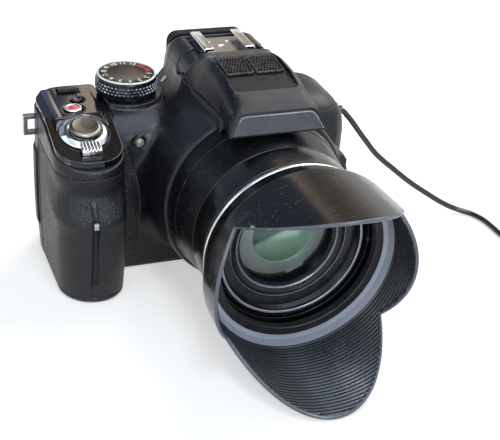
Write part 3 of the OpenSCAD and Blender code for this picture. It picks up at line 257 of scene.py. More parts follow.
# Node helpers for the materials
class Nodes:
    def __init__(self, tree):
        self.tree = tree

    def add(self, kind, **values):
        node = self.tree.nodes.new(kind)
        for key, value in values.items():
            if hasattr(node, key):
                setattr(node, key, value)
            else:
                node.inputs[key.replace("_", " ")].default_value = value
        return node

    def link(self, source, target):
        self.tree.links.new(source, target)

    def coords(self):
        return self.add("ShaderNodeTexCoord").outputs["Object"]

    def axes(self):
        node = self.add("ShaderNodeSeparateXYZ")
        self.link(self.coords(), node.inputs["Vector"])
        return node.outputs

    def noise(self, size, detail):
        node = self.add("ShaderNodeTexNoise", Scale=1 / (size * MM), Detail=detail, Roughness=0.55)
        self.link(self.coords(), node.inputs["Vector"])
        return node.outputs["Fac"]

    def cells(self, size, feature="F1"):
        node = self.add("ShaderNodeTexVoronoi", feature=feature, Scale=1 / (size * MM))
        self.link(self.coords(), node.inputs["Vector"])
        return node.outputs["Distance"]

    def span(self, value, low, high, to_low=0.0, to_high=1.0):
        node = self.add("ShaderNodeMapRange", From_Min=low, From_Max=high, To_Min=to_low, To_Max=to_high)
        self.link(value, node.inputs["Value"])
        return node.outputs["Result"]

    def times(self, a, b, operation="MULTIPLY"):
        node = self.add("ShaderNodeMath", operation=operation)
        for socket, value in zip(node.inputs, (a, b)):
            if isinstance(value, (int, float)):
                socket.default_value = value
            else:
                self.link(value, socket)
        return node.outputs[0]

    def blend(self, factor, a, b):
        node = self.add("ShaderNodeMix", data_type="RGBA")
        self.link(factor, node.inputs["Factor"])
        for name, value in (("A", a), ("B", b)):
            socket = [s for s in node.inputs if s.name == name and s.type == "RGBA"][0]
            if isinstance(value, tuple):
                socket.default_value = (*value, 1)
            else:
                self.link(value, socket)
        return [s for s in node.outputs if s.type == "RGBA"][0]

    def edges(self, low, high):
        return self.span(self.add("ShaderNodeNewGeometry").outputs["Pointiness"], low, high)

    def bump(self, height, depth, base=None):
        node = self.add("ShaderNodeBump", Strength=1.0, Distance=depth * MM)
        self.link(height, node.inputs["Height"])
        if base:
            self.link(base, node.inputs["Normal"])
        return node.outputs["Normal"]


def shade(colour, factor):
    return tuple(min(1.0, c * factor) for c in colour)


# A new material with some values set on its shader, its node helper and the shader's sockets
def shader(name, **values):
    material = bpy.data.materials.new(name)
    material.use_nodes = True
    sockets = material.node_tree.nodes["Principled BSDF"].inputs
    for key, value in values.items():
        sockets[key.replace("_", " ")].default_value = value
    return material, Nodes(material.node_tree), sockets


# A moulded, painted or metal surface: uneven colour, uneven gloss, fine grain, worn edges, dust, scratches
def surface(name, colour, rough, grain, depth, metal=0.0, spread=0.25, gloss_spread=0.25, wear=None,
            dust=0.0, scratch=0.0, specular=0.5, coat=0.0):
    material, n, sockets = shader(name, Metallic=metal, Specular_IOR_Level=specular, Coat_Weight=coat,
                                  Coat_Roughness=0.06)
    tone = n.blend(n.noise(9, 5), shade(colour, 1 - spread), shade(colour, 1 + spread))
    gloss = n.span(n.noise(4, 6), 0.3, 0.7, rough * (1 - gloss_spread), min(1, rough * (1 + gloss_spread)))
    if wear:
        worn = n.times(n.edges(0.53, 0.6), n.span(n.noise(1.6, 6), 0.4, 0.62))
        tone = n.blend(worn, tone, wear)
    if dust:
        specks = n.times(n.span(n.cells(1.3), 0.16, 0.1), n.span(n.noise(7, 3), 0.5, 0.64))
        tone = n.blend(n.times(specks, dust), tone, (0.5, 0.5, 0.5))
    height = n.noise(grain, 3)
    if scratch:
        stretch = n.add("ShaderNodeMapping", Scale=(1, 9, 5), Rotation=(0.4, 0.9, 0.6))
        n.link(n.coords(), stretch.inputs["Vector"])
        line = n.add("ShaderNodeTexVoronoi", feature="DISTANCE_TO_EDGE", Scale=22)
        n.link(stretch.outputs["Vector"], line.inputs["Vector"])
        lines = n.times(n.span(line.outputs["Distance"], 0.012, 0.003), n.span(n.noise(5, 3), 0.55, 0.66))
        tone = n.blend(n.times(lines, scratch), tone, (0.34, 0.34, 0.34))
        gloss = n.times(gloss, n.times(lines, 0.2 * scratch), "ADD")
    n.link(tone, sockets["Base Color"])
    n.link(gloss, sockets["Roughness"])
    n.link(n.bump(height, depth), sockets["Normal"])
    return material


# Leather-grained rubber: rounded cells with creases between them. The colour is painted darker in the
# creases and lighter on the cell tops, a painted shade
def leather(name, colour, cell, depth):
    material, n, sockets = shader(name, Specular_IOR_Level=0.36)
    crease_and_painted_shade = n.span(n.cells(cell, "DISTANCE_TO_EDGE"), 0.0, 0.25)
    large = n.span(n.cells(cell * 2.3, "DISTANCE_TO_EDGE"), 0.0, 0.14, 0.35, 1.0)
    height = n.times(crease_and_painted_shade, large)
    # Painted shade: the creases darker, the cell tops lighter
    n.link(n.blend(height, shade(colour, 0.4), shade(colour, 1.5)), sockets["Base Color"])
    n.link(n.span(height, 0, 1, 0.52, 0.3), sockets["Roughness"])
    fine = n.bump(n.noise(0.25, 3), 0.03)
    n.link(n.bump(height, depth, fine), sockets["Normal"])
    return material


# Coated glass, seen through by its alpha
def glass(name, colour, alpha, rough):
    material, n, sockets = shader(name, Alpha=alpha, IOR=1.6, Specular_IOR_Level=0.9)
    n.link(n.blend(n.noise(8, 3), shade(colour, 0.7), shade(colour, 1.3)), sockets["Base Color"])
    n.link(n.span(n.noise(6, 4), 0.4, 0.7, rough, rough * 3), sockets["Roughness"])
    return material


# Coating of the second lens, with light painted into its colour: a dark corner of painted shade, a pale
# slanting band of painted reflection and deep green below
def coating_with_painted_light(name, painted_shade_tone, painted_reflection_tone, deep):
    material, n, sockets = shader(name, Metallic=0.3, Specular_IOR_Level=0.6, Coat_Weight=0.4)
    axes = n.axes()
    slant = n.times(axes["Z"], n.times(axes["X"], -0.54), "ADD")
    uneven = n.times(slant, n.span(n.noise(7, 2), 0.2, 0.8, -1 * MM, 1 * MM), "ADD")
    # The pale band is a painted reflection and the dark corner above the slant is painted shade
    low = n.span(axes["Z"], (LENS_Z - 4) * MM, (LENS_Z - 10) * MM)
    tone = n.blend(low, painted_reflection_tone, deep)
    tone = n.blend(n.span(uneven, (LENS_Z + 1.4) * MM, (LENS_Z + 3.2) * MM), tone, painted_shade_tone)
    n.link(tone, sockets["Base Color"])
    n.link(n.span(n.noise(5, 3), 0.3, 0.7, 0.08, 0.16), sockets["Roughness"])
    return material


# Finishes: colour, roughness, size and depth of the grain in millimetres, and what else differs
looks = {
    "body": surface("body_plastic", (0.0066, 0.0078, 0.0108), 0.36, 0.35, 0.016, specular=0.34,
                    wear=(0.06, 0.06, 0.07), dust=0.1),
    "rear": surface("rear_plastic", (0.0078, 0.0085, 0.0108), 0.4, 0.35, 0.014, specular=0.3,
                    wear=(0.05, 0.05, 0.06)),
    "flash": surface("flash_plastic", (0.0066, 0.0075, 0.0098), 0.32, 0.35, 0.012, specular=0.24,
                     wear=(0.1, 0.1, 0.11), dust=0.1),
    "rubber": leather("grain_rubber", (0.0062, 0.0072, 0.0096), 0.85, 0.13),
    "soft": surface("soft_rubber", (0.008, 0.008, 0.009), 0.72, 0.4, 0.02, specular=0.25),
    "gloss": surface("gloss_black", (0.004, 0.004, 0.005), 0.09, 1.5, 0.002, scratch=0.25, specular=0.45,
                     wear=(0.16, 0.16, 0.17)),
    "hood": surface("hood_gloss", (0.005, 0.005, 0.006), 0.2, 0.8, 0.004, scratch=0.5, dust=0.4,
                    specular=0.26, wear=(0.5, 0.5, 0.52)),
    "hood_inside": surface("hood_inside", (0.026, 0.029, 0.036), 0.3, 0.3, 0.008),
    # The hood's floor band is painted a pale bluish grey, a painted sheen of light
    "hood_floor": surface("hood_floor", (0.35, 0.375, 0.44), 0.46, 0.25, 0.015),
    "hood_lip": surface("hood_lip", (0.01, 0.011, 0.013), 0.34, 0.25, 0.008),
    # The hood's rim is painted a light bluish grey, a painted highlight
    "hood_rim": surface("hood_rim", (0.1, 0.112, 0.14), 0.26, 0.5, 0.006),
    "tube": surface("tube_black", (0.0055, 0.006, 0.0075), 0.3, 0.3, 0.012, specular=0.16, dust=0.5,
                    wear=(0.1, 0.1, 0.11)),
    "satin": surface("satin_black", (0.0055, 0.0058, 0.0068), 0.24, 0.3, 0.006, specular=0.32,
                     wear=(0.1, 0.1, 0.1)),
    # The studs are a lighter black than the dial, painted to show their glints; their edges wear pale
    "stud": surface("stud_black_painted_glint", (0.02, 0.022, 0.027), 0.2, 0.3, 0.004, specular=0.8,
                    wear=(0.3, 0.32, 0.36)),
    "dial": surface("dial_black", (0.004, 0.004, 0.005), 0.2, 0.6, 0.003, specular=0.2),
    "matt": surface("matt_black", (0.006, 0.006, 0.007), 0.6, 0.3, 0.01, specular=0.3),
    "slate": surface("slate_black", (0.018, 0.02, 0.025), 0.3, 0.3, 0.005, specular=0.4),
    # Light bluish grey for edges that catch light: painted highlights on the barrel, the name ring and the
    # flash plate
    "edge": surface("edge_painted_highlight", (0.24, 0.26, 0.32), 0.26, 0.4, 0.003, metal=0.3),
    "chrome": surface("chrome", (0.72, 0.72, 0.73), 0.12, 0.5, 0.003, metal=1.0, spread=0.06),
    "button": surface("button_metal", (0.17, 0.16, 0.13), 0.28, 0.4, 0.003, metal=1.0, spread=0.08),
    "steel": surface("shoe_steel", (0.46, 0.45, 0.43), 0.24, 0.4, 0.003, metal=1.0, spread=0.08,
                     gloss_spread=0.12),
    "loop": surface("loop_steel", (0.3, 0.29, 0.28), 0.26, 0.4, 0.006, metal=1.0, spread=0.15),
    "ring": surface("bright_ring", (0.8, 0.8, 0.82), 0.2, 0.5, 0.003, metal=0.7, spread=0.05),
    "ring_dim": surface("ring_dim", (0.42, 0.43, 0.47), 0.24, 0.5, 0.003, metal=0.5, spread=0.2),
    "plate": surface("plate_grey", (0.085, 0.09, 0.105), 0.26, 0.25, 0.005, specular=0.2,
                     wear=(0.3, 0.31, 0.34)),
    "white": surface("white_mark", (0.82, 0.82, 0.8), 0.5, 0.4, 0.004, spread=0.05),
    "red": surface("red_mark", (0.78, 0.06, 0.03), 0.45, 0.4, 0.004, spread=0.08),
    "red_dot": surface("red_dot", (0.75, 0.03, 0.06), 0.3, 0.4, 0.004, spread=0.12, coat=0.6),
    # The panel strip's navy tint is a painted reflection
    "painted_navy_reflection": surface("painted_navy_reflection_gloss", (0.01, 0.016, 0.034), 0.12, 0.6, 0.003, coat=0.4),
    "screen": surface("screen_black", (0.006, 0.006, 0.008), 0.07, 2.0, 0.001, coat=0.6),
    "brass": surface("brass", (0.62, 0.52, 0.33), 0.3, 0.4, 0.006, metal=1.0, spread=0.1),
    "board": surface("board", (0.02, 0.13, 0.06), 0.45, 0.5, 0.01),
    "sensor": surface("sensor", (0.04, 0.045, 0.06), 0.2, 0.6, 0.002),
    "cell": surface("cell", (0.045, 0.047, 0.052), 0.4, 0.4, 0.006, wear=(0.2, 0.2, 0.2)),
    "card": surface("card", (0.02, 0.04, 0.1), 0.4, 0.4, 0.006),
    "motor": surface("motor", (0.5, 0.51, 0.53), 0.3, 0.4, 0.006, metal=1.0),
    "string": surface("string", (0.006, 0.006, 0.007), 0.22, 0.7, 0.05, coat=0.3),
    "lamp": surface("clear_lamp", (0.2, 0.22, 0.2), 0.12, 0.5, 0.002, spread=0.5, coat=1.0),
    # The cell ring's pale grey-green is a painted reflection of the glass in front of it
    "cell_ring_painted_reflection": surface("cell_ring_painted_reflection", (0.46, 0.51, 0.49), 0.3, 0.3, 0.003, spread=0.35),
    "glass": glass("lens_glass", (0.02, 0.045, 0.036), 0.14, 0.02),
    # The second lens's coating carries a painted reflection and a painted shade
    "coating_with_painted_light": coating_with_painted_light("lens_coating_painted_light", (0.02, 0.12, 0.1), (0.5, 0.8, 0.62), (0.26, 0.52, 0.28)),
    "window": glass("flash_window", (0.6, 0.6, 0.58), 0.5, 0.12),
}


def placed(name, data):
    obj = bpy.data.objects.new(name, data)
    bpy.context.scene.collection.objects.link(obj)
    return obj


# A finished piece: its mesh, the body it rides on, its finish and the nodes it stands for
def piece(name, mesh, body, look, stands_for=(), sharp=35):
    obj = placed(name, mesh)
    for key in look.split():
        mesh.materials.append(looks[key])
    mesh.shade_smooth()
    if sharp:
        mesh.set_sharp_from_angle(angle=math.radians(sharp))
    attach(obj, body)
    if stands_for:
        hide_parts(*stands_for)
    return obj


def mesh_from(name, verts, faces, indices=None):
    mesh = bpy.data.meshes.new(name)
    mesh.from_pydata([tuple(v) for v in verts], [], faces)
    if indices:
        mesh.polygons.foreach_set("material_index", indices)
    bm = bmesh.new()
    bm.from_mesh(mesh)
    bmesh.ops.remove_doubles(bm, verts=bm.verts, dist=0.002 * MM)
    bmesh.ops.dissolve_degenerate(bm, edges=bm.edges, dist=0.001 * MM)
    bmesh.ops.recalc_face_normals(bm, faces=bm.faces)
    bm.to_mesh(mesh)
    bm.free()
    return mesh


# The mesh of an object as its modifiers or its text leave it; the object goes
def mesh_of(holder):
    graph = bpy.context.evaluated_depsgraph_get()
    mesh = bpy.data.meshes.new_from_object(holder.evaluated_get(graph))
    bpy.data.objects.remove(holder)
    mesh.materials.clear()
    return mesh


def joined(name, meshes):
    bm = bmesh.new()
    for part in meshes:
        bm.from_mesh(part)
    mesh = bpy.data.meshes.new(name)
    bm.to_mesh(mesh)
    bm.free()
    return mesh


def points_of(mesh):
    co = np.empty(len(mesh.vertices) * 3)
    mesh.vertices.foreach_get("co", co)
    return co.reshape(-1, 3)


def set_points(mesh, co):
    mesh.vertices.foreach_set("co", co.ravel())
    mesh.update()


# Quads between rows of points that all have the same count; both ways may close on themselves
def quads(rows, count, rows_close=False, row_closes=True):
    faces = []
    for i in range(rows if rows_close else rows - 1):
        here, following = i * count, (i + 1) % rows * count
        for k in range(count if row_closes else count - 1):
            after = (k + 1) % count
            faces.append((here + k, here + after, following + after, following + k))
    return faces


# The same with the first and the last row filled
def capped(rows, count):
    last = (rows - 1) * count
    return quads(rows, count) + [tuple(reversed(range(count))), tuple(range(last, last + count))]


def shifted(faces, start):
    return [tuple(start + v for v in face) for face in faces]


# A section with its corners rounded; points on the axis stay as they are
def eased(points, edge, steps=3, closed=True):
    out = []
    count = len(points)
    for i, point in enumerate(points):
        here = Vector(point[:2])
        size = point[2] if len(point) > 2 else edge
        at_end = not closed and i in (0, count - 1)
        if at_end or here.x < 1e-6 or size <= 0:
            out.append(here)
            continue
        to_last = Vector(points[i - 1][:2]) - here
        to_next = Vector(points[(i + 1) % count][:2]) - here
        reach = min(size, 0.45 * to_last.length, 0.45 * to_next.length)
        start = here + to_last.normalized() * reach
        end = here + to_next.normalized() * reach
        for k in range(steps + 1):
            t = k / steps
            out.append(start.lerp(here, t).lerp(here.lerp(end, t), t))
    return out


# A section of radii and heights, turned round the place's axis
def lathe(name, points, place, sides=96, edge=0.25):
    closed = points[0][0] > 1e-6
    section = eased(points, edge, 3, closed)
    verts = []
    for i in range(sides):
        a = 2 * math.pi * i / sides
        verts += [place @ Vector((p.x * math.cos(a), p.x * math.sin(a), p.y)) for p in section]
    return mesh_from(name, verts, quads(sides, len(section), True, closed))


# Gives the faces of a mesh turned on the lens axis their finish, by radius and height
def tint(mesh, choose):
    for face in mesh.polygons:
        middle = face.center / MM
        face.material_index = choose(math.hypot(middle.x, middle.z - LENS_Z), -middle.y)


# A turned piece that stands for one node
def spun(node, points, place, sides, edge, body, look, ending="_turned", choose=None, sharp=35):
    mesh = lathe(node, points, place, sides, edge)
    if choose:
        tint(mesh, choose)
    piece(node + ending, mesh, body, look, [node], sharp)


# Outline of a rectangle with round corners, by halves of its size
def round_corners(half_x, half_y, edge, steps):
    in_x, in_y = half_x - edge, half_y - edge
    outline = []
    for sx, sy, start in ((1, 1, 0), (-1, 1, 90), (-1, -1, 180), (1, -1, 270)):
        for k in range(steps + 1):
            a = math.radians(start + 90 * k / steps)
            outline.append((sx * in_x + edge * math.cos(a), sy * in_y + edge * math.sin(a)))
    return outline


# A bar with rounded edges and ends, by halves of its size
def bar(name, place, half_x, half_y, low, high, edge):
    steps = 5
    edge = min(edge, half_x * 0.98, half_y * 0.98)
    outline = round_corners(half_x, half_y, edge, steps)
    rings = [(low, 0.0)]
    for k in range(steps + 1):
        a = math.radians(90 * k / steps)
        rings.append((high - edge + edge * math.sin(a), edge * (1 - math.cos(a))))
    verts = []
    for z, inset in rings:
        scale_x = (half_x - inset) / half_x
        scale_y = (half_y - inset) / half_y
        verts += [place @ Vector((x * scale_x, y * scale_y, z)) for x, y in outline]
    return mesh_from(name, verts, capped(len(rings), len(outline)))


# A round wire along points given in millimetres
def wire(name, points, radius, sides=10, ring=False):
    path = [Vector(p) * MM for p in points]
    count = len(path)
    verts = []
    for i, p in enumerate(path):
        last = path[i - 1] if ring or i else p
        following = path[(i + 1) % count] if ring or i < count - 1 else p
        along = (following - last).normalized()
        side = along.orthogonal() if abs(along.z) > 0.95 else along.cross(Vector((0, 0, 1)))
        side.normalize()
        up = side.cross(along)
        for k in range(sides):
            a = 2 * math.pi * k / sides
            verts.append(p + (side * math.cos(a) + up * math.sin(a)) * radius * MM)
    return mesh_from(name, verts, quads(count, sides, True) if ring else capped(count, sides))


# Moves each vertex towards its neighbours' mean and back, which rounds edges without shrinking
def relax(mesh, rounds, weight=None, back=-0.51):
    co = points_of(mesh)
    count = len(co)
    ends = np.empty(len(mesh.edges) * 2, int)
    mesh.edges.foreach_get("vertices", ends)
    a, b = ends[0::2], ends[1::2]
    degree = np.maximum(1, np.bincount(a, minlength=count) + np.bincount(b, minlength=count))[:, None]
    pull = np.ones((count, 1)) if weight is None else weight(co / MM)[:, None]
    for i in range(rounds):
        sums = [np.bincount(a, co[b, k], count) + np.bincount(b, co[a, k], count) for k in range(3)]
        factor = 0.5 if i % 2 == 0 else back
        co = co + factor * pull * (np.stack(sums, 1) / degree - co)
    set_points(mesh, co)


# The CAD solids of some nodes as one closed skin with softly rounded edges. A lapping node's
# foot reaches a little into its neighbour below the seam, so that no crack stays between them.
def skin(name, nodes, voxel, rounds, lapping=None):
    bm = bmesh.new()
    for node in nodes:
        first = len(bm.verts)
        bm.from_mesh(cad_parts[node].data)
        if node == lapping:
            bm.verts.ensure_lookup_table()
            for vert in bm.verts[first:]:
                if abs(vert.co.z - SEAM_Z * MM) < 0.01 * MM:
                    vert.co.z -= SEAM_LAP * MM
    bmesh.ops.remove_doubles(bm, verts=bm.verts, dist=0.002 * MM)
    rough = bpy.data.meshes.new(name + "_rough")
    bm.to_mesh(rough)
    bm.free()
    holder = placed(name + "_rough", rough)
    remesh = holder.modifiers.new("remesh", "REMESH")
    remesh.mode = "VOXEL"
    remesh.voxel_size = voxel * MM * 1
    mesh = mesh_of(holder)
    bpy.data.meshes.remove(rough)
    relax(mesh, rounds)
    return mesh


def softened(node, body, look, voxel, rounds):
    return piece(node + "_skin", skin(node, [node], voxel, rounds), body, look, [node], sharp=0)


# Camera
def add_camera():
    azimuth, elevation, roll = (math.radians(v) for v in (VIEW_AZIMUTH, VIEW_ELEVATION, VIEW_ROLL))
    level = math.cos(elevation)
    back = Vector((math.sin(azimuth) * level, -math.cos(azimuth) * level, math.sin(elevation)))
    right = Vector((math.cos(azimuth), math.sin(azimuth), 0))
    up = back.cross(right)
    x_axis = right * math.cos(roll) + up * math.sin(roll)
    y_axis = up * math.cos(roll) - right * math.sin(roll)
    matrix = Matrix((x_axis, y_axis, back)).transposed().to_4x4()
    matrix.translation = mm(*VIEW_TARGET) + back * VIEW_DISTANCE * MM
    data = bpy.data.cameras.new("camera")
    data.sensor_width = SENSOR_WIDTH
    data.lens = VIEW_LENS
    camera = placed("camera", data)
    camera.matrix_world = matrix
    bpy.context.scene.camera = camera


# Lens cap and its string, knotted round the left strap loop
def add_string():
    turns = []
    for i in range(KNOT_POINTS):
        t = i / (KNOT_POINTS - 1)
        a = 4 * math.pi * t
        turns.append((KNOT_X + KNOT_RX * math.cos(a), KNOT_Y + KNOT_RY * math.sin(a), KNOT_Z + KNOT_H * t))
    knot = piece("string_knot", wire("string_knot", turns, 0.95), "body", "string")
    cap = softened("lens_cap", "body", "gloss", 0.4, 4)
    curve = bpy.data.curves.new("cap_string_line", "CURVE")
    curve.dimensions = "3D"
    curve.resolution_u = 8
    curve.bevel_depth = STRING_D / 2 * MM
    curve.bevel_resolution = 5
    curve.use_fill_caps = True
    spline = curve.splines.new("BEZIER")
    spline.bezier_points.add(len(STRING_ROUTE) - 1)
    for point, place in zip(spline.bezier_points, STRING_ROUTE):
        point.co = mm(*place)
        point.handle_left_type = "AUTO"
        point.handle_right_type = "AUTO"
    curve.materials.append(looks["string"])
    string = placed("cap_string_line", curve)
    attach(string, "body")
    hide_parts("cap_string")


add_camera()
add_string()


# 0 at the start and 1 at the end, in a straight line between them
def ramp(value, start, end):
    return np.clip((value - start) / (end - start), 0, 1)


# Where the covers are smoothed: 1 on the open flanks, 0 at the edges and slots that stay crisp.
# Each ramp fades between the two places in millimetres that follow its measure.
def flow(co):
    x, y, z = co.T
    reach = np.hypot(x, z - LENS_Z)
    side_slots = ramp(x, 32, 34) * ramp(z, 23, 25) * ramp(z, 52, 50)
    flare = ramp(reach, 48, 44) * ramp(reach, 35.6, 37) * ramp(y, -9, -11) * ramp(x, 39, 36)
    flare *= 1 - side_slots
    lamp = ramp(np.hypot(x - LAMP_X, z - LAMP_Z), 2.2, 4)
    dial = ramp(np.hypot(x - DIAL_X, y - DIAL_Y), 14.4, 17)
    shoulder = ramp(z, 48, 52) * ramp(y, 22, 16) * ramp(x, -47.6, -46) * dial * lamp * ramp(z, 75.6, 73.5)
    shoulder *= 1 - ramp(reach, 40, 37.5) * ramp(y, -11, -13)
    bore = ramp(np.hypot(y - FLASH_BUTTON_Y, z - FLASH_BUTTON_Z), 3.6, 5.5)
    shoulder *= np.where(x > 0, bore, 1)
    behind = ramp(y, -2, -0.5) * ramp(np.abs(x), 24, 22)
    shoulder *= (1 - behind) * (1 - side_slots * (z < 50))
    return np.clip(np.maximum(flare, shoulder), 0, 1)


def part_at_seam(name, mesh, keep_above):
    bm = bmesh.new()
    bm.from_mesh(mesh)
    geometry = list(bm.verts) + list(bm.edges) + list(bm.faces)
    bmesh.ops.bisect_plane(bm, geom=geometry, plane_co=mm(0, 0, SEAM_Z), plane_no=(0, 0, 1), dist=1e-7,
                           clear_inner=keep_above, clear_outer=not keep_above)
    rim = [e for e in bm.edges if e.is_boundary]
    bmesh.ops.triangle_fill(bm, use_beauty=True, edges=rim)
    half = bpy.data.meshes.new(name)
    bm.to_mesh(half)
    bm.free()
    return half


# Where the grip is smoothed: 0 at its groove, its ends and its edge at the front cover
def grip_open(co):
    x, _, z = co.T
    return ramp(z, 4.5, 6.5) * ramp(z, 52, 50) * ramp(np.abs(x - GROOVE_X), 1.6, 3) * ramp(x, -49, -51)


# Brings out the ridge under the finger and the hollow over it, fading to the back and to the lens side
def shape_grip(mesh):
    co = points_of(mesh)
    x, y, z = (co / MM).T
    swell = RIDGE_H * np.exp(-((z - RIDGE_Z) / RIDGE_W) ** 2)
    swell -= HOLLOW_H * np.exp(-((z - HOLLOW_Z) / HOLLOW_W) ** 2)
    swell *= ramp(y, -4, -18) * ramp(x, -49, -52) * ramp(z, 52.5, 50)
    reach = np.maximum(1, np.hypot(x - GRIP_X, y - GRIP_Y))
    co[:, 0] += swell * (x - GRIP_X) / reach * MM
    co[:, 1] += swell * (y - GRIP_Y) / reach * MM
    set_points(mesh, co)


# Presses the finger groove evenly into the grip's front, with round ends
def carve_groove(mesh):
    co = points_of(mesh)
    x, y, z = (co / MM).T
    past_end = np.maximum(0, np.maximum(GROOVE_LOW_Z + GROOVE_HW - z, z - GROOVE_TOP_Z + GROOVE_HW))
    aside = np.hypot(x - GROOVE_X, past_end) / GROOVE_HW
    co[:, 1] += GROOVE_DEEP * np.sqrt(np.clip(1 - aside ** 2, 0, 1)) * (y < GROOVE_FRONT_Y) * MM
    set_points(mesh, co)


# Thin leather pad laid on the front cover between the grip and the lens
def add_side_pad(shell):
    tree = BVHTree.FromPolygons([v.co for v in shell.vertices], [tuple(f.vertices) for f in shell.polygons])
    across, along = 30, 120
    outer, inner = [], []
    for i in range(along + 1):
        z = mix(PAD_LOW_Z, PAD_TOP_Z, i / along)
        right = PAD_X - (z - PAD_MID_Z) ** 2 / PAD_BOW
        for k in range(across + 1):
            x = mix(PAD_IN_X, right, k / across)
            spot = tree.ray_cast(mm(x, PAD_CAST_Y, z), Vector((0, 1, 0)))[0]
            rim = min(right - x, z - PAD_LOW_Z, PAD_TOP_Z - z)
            lift = PAD_T * math.sqrt(min(1, max(0, rim) / PAD_ROUND)) - 0.1
            outer.append(spot - mm(0, lift, 0))
            inner.append(spot + mm(0, PAD_SUNK, 0))
    row = across + 1
    count = len(outer)
    faces = quads(along + 1, row, False, False)
    faces += [tuple(reversed(face)) for face in shifted(faces, count)]
    border = list(range(row)) + [i * row + across for i in range(1, along + 1)]
    border += [along * row + k for k in reversed(range(across))]
    border += [i * row for i in reversed(range(1, along))]
    for a, b in zip(border, border[1:] + border[:1]):
        faces.append((a, b, count + b, count + a))
    pad = mesh_from("grip_side_pad", outer + inner, faces)
    piece("grip_side_pad", pad, "body", "rubber", sharp=60)


# Covers: the front and the top are skinned together, so that the shoulder flows, and cut at their seam
def add_covers():
    shell = skin("covers", ["front_cover", "top_cover"], 0.45, 3, lapping="top_cover")
    relax(shell, 90, flow, 0.5)
    low = part_at_seam("front_cover_skin", shell, False)
    high = part_at_seam("top_cover_skin", shell, True)
    piece("front_cover_skin", low, "body", "body", ["front_cover"], sharp=60)
    piece("top_cover_skin", high, "body", "body", ["top_cover"], sharp=60)
    add_side_pad(low)
    softened("rear_cover", "body", "rear", 0.5, 6)
    grip = skin("grip_rubber", ["grip_rubber"], 0.4, 4)
    relax(grip, 40, grip_open, 0.5)
    shape_grip(grip)
    carve_groove(grip)
    piece("grip_rubber_skin", grip, "body", "rubber", ["grip_rubber"], sharp=0)
    stud = bar("stud", turned(GROOVE_X, STUD_Y, STUD_Z, 90, "X"), 0.95, 1.25, -0.8, 0.5, 0.3)
    piece("groove_stud", stud, "body", "ring_dim")
    softened("thumb_rubber", "body", "rubber", 0.35, 6)


# Fixed barrel
def add_barrel():
    r, bore, back, floor = TUBE_FRONT_R, TUBE_BORE_R, SLEEVE_BACK_H, SLEEVE_BACK_H + SLEEVE_FLOOR
    tube = [(bore, back), (SLEEVE_R, back), (SLEEVE_R, TUBE_H), (TUBE_R, TUBE_H),
            (TUBE_R - 0.9, TUBE_H + 6.4), (TUBE_R - 1.1, TUBE_H + 6.5), (r, BAND_H), (TUBE_IN_R, BAND_H),
            (TUBE_IN_R, floor), (bore, floor)]
    spun("lens_tube", tube, LENS, 160, 0.35, "body", "tube")
    band = [(TUBE_IN_R, BAND_H), (r + 0.2, BAND_H + 0.05), (r + 0.25, BAND_H + 1.0),
            (r - 0.05, BAND_H + 1.15), (r - 0.05, BAND_H + 1.45), (r + 0.3, BAND_H + 1.6),
            (r + 0.62, RING_H - 2.2), (r + 0.3, RING_H - 2.0), (r + 0.3, RING_H - 1.5),
            (r + 0.7, RING_H - 1.3), (r + 0.7, RING_H), (TUBE_IN_R, RING_H)]
    spun("barrel_band", band, LENS, 160, 0.2, "body", "satin")
    ring = [(TUBE_IN_R, RING_H), (r + 1.1, RING_H), (r + 1.5, RING_H + 0.7), (r + 1.3, RING_H + 1.5),
            (r + 0.9, FRONT_H), (TUBE_IN_R, FRONT_H)]
    spun("silver_ring", ring, LENS, 160, 0.3, "body", "ring satin",
         choose=lambda radius, h: 0 if radius > TUBE_FRONT_R else 1)


# Zoom barrels, name ring and glass
def add_optics():
    lip, back, floor, end = OUTER_IN_R - 3, OUTER_BACK_H, OUTER_FLOOR_H, FACE_H - 2.5
    outer = [(lip, back), (OUTER_R, back), (OUTER_R, end), (OUTER_IN_R, end), (OUTER_IN_R, floor),
             (lip, floor)]
    spun("zoom_barrel_outer", outer, LENS, 140, 0.25, "zoom_stage_1", "satin")
    r, seat = GLASS_R, FACE_H - THREAD_L
    thread = []
    for i in range(int((THREAD_L - 0.7) / THREAD_PITCH)):
        top = FACE_H - 0.6 - i * THREAD_PITCH
        thread += [(THREAD_R, top, 0), (THREAD_R - 0.4, top - THREAD_PITCH / 2, 0)]
    wall = []
    for i in range(BAFFLES):
        top = seat - 2.3 - i * BAFFLE_PITCH
        wall += [(r, top, 0), (r - 0.3, top - 0.4, 0)]
    inner = [(THREAD_R, INNER_BACK_H), (INNER_R, INNER_BACK_H), (INNER_R, FACE_H), (THREAD_R + 0.3, FACE_H)]
    inner += thread + [(THREAD_R, seat), (r + 4, seat), (r + 4, seat - 2), (r, seat - 2)]
    inner += wall + [(r, seat - WELL_L), (THREAD_R, seat - WELL_L)]
    spun("zoom_barrel_inner", inner, LENS, 140, 0.2, "zoom_stage_2",
         "satin slate edge ring_dim", choose=lambda radius, h: barrel_finish_with_highlights(radius, h, seat), sharp=25)
    # The name ring's light inner edge is a painted highlight
    name_ring = [(r + 1, seat - 2), (r + 4, seat - 2), (r + 4, seat - 0.2), (r + 3.4, seat - 0.15),
                 (r + 3.2, seat - 0.55), (r + 1.7, seat - 1.05), (r + 1.5, seat - 0.8), (r + 1, seat - 1.1)]
    spun("name_ring", name_ring, LENS, 140, 0.12, "zoom_stage_2", "satin edge",
         choose=lambda radius, h: 1 if radius < GLASS_R + 1.75 else 0)
    add_glass()


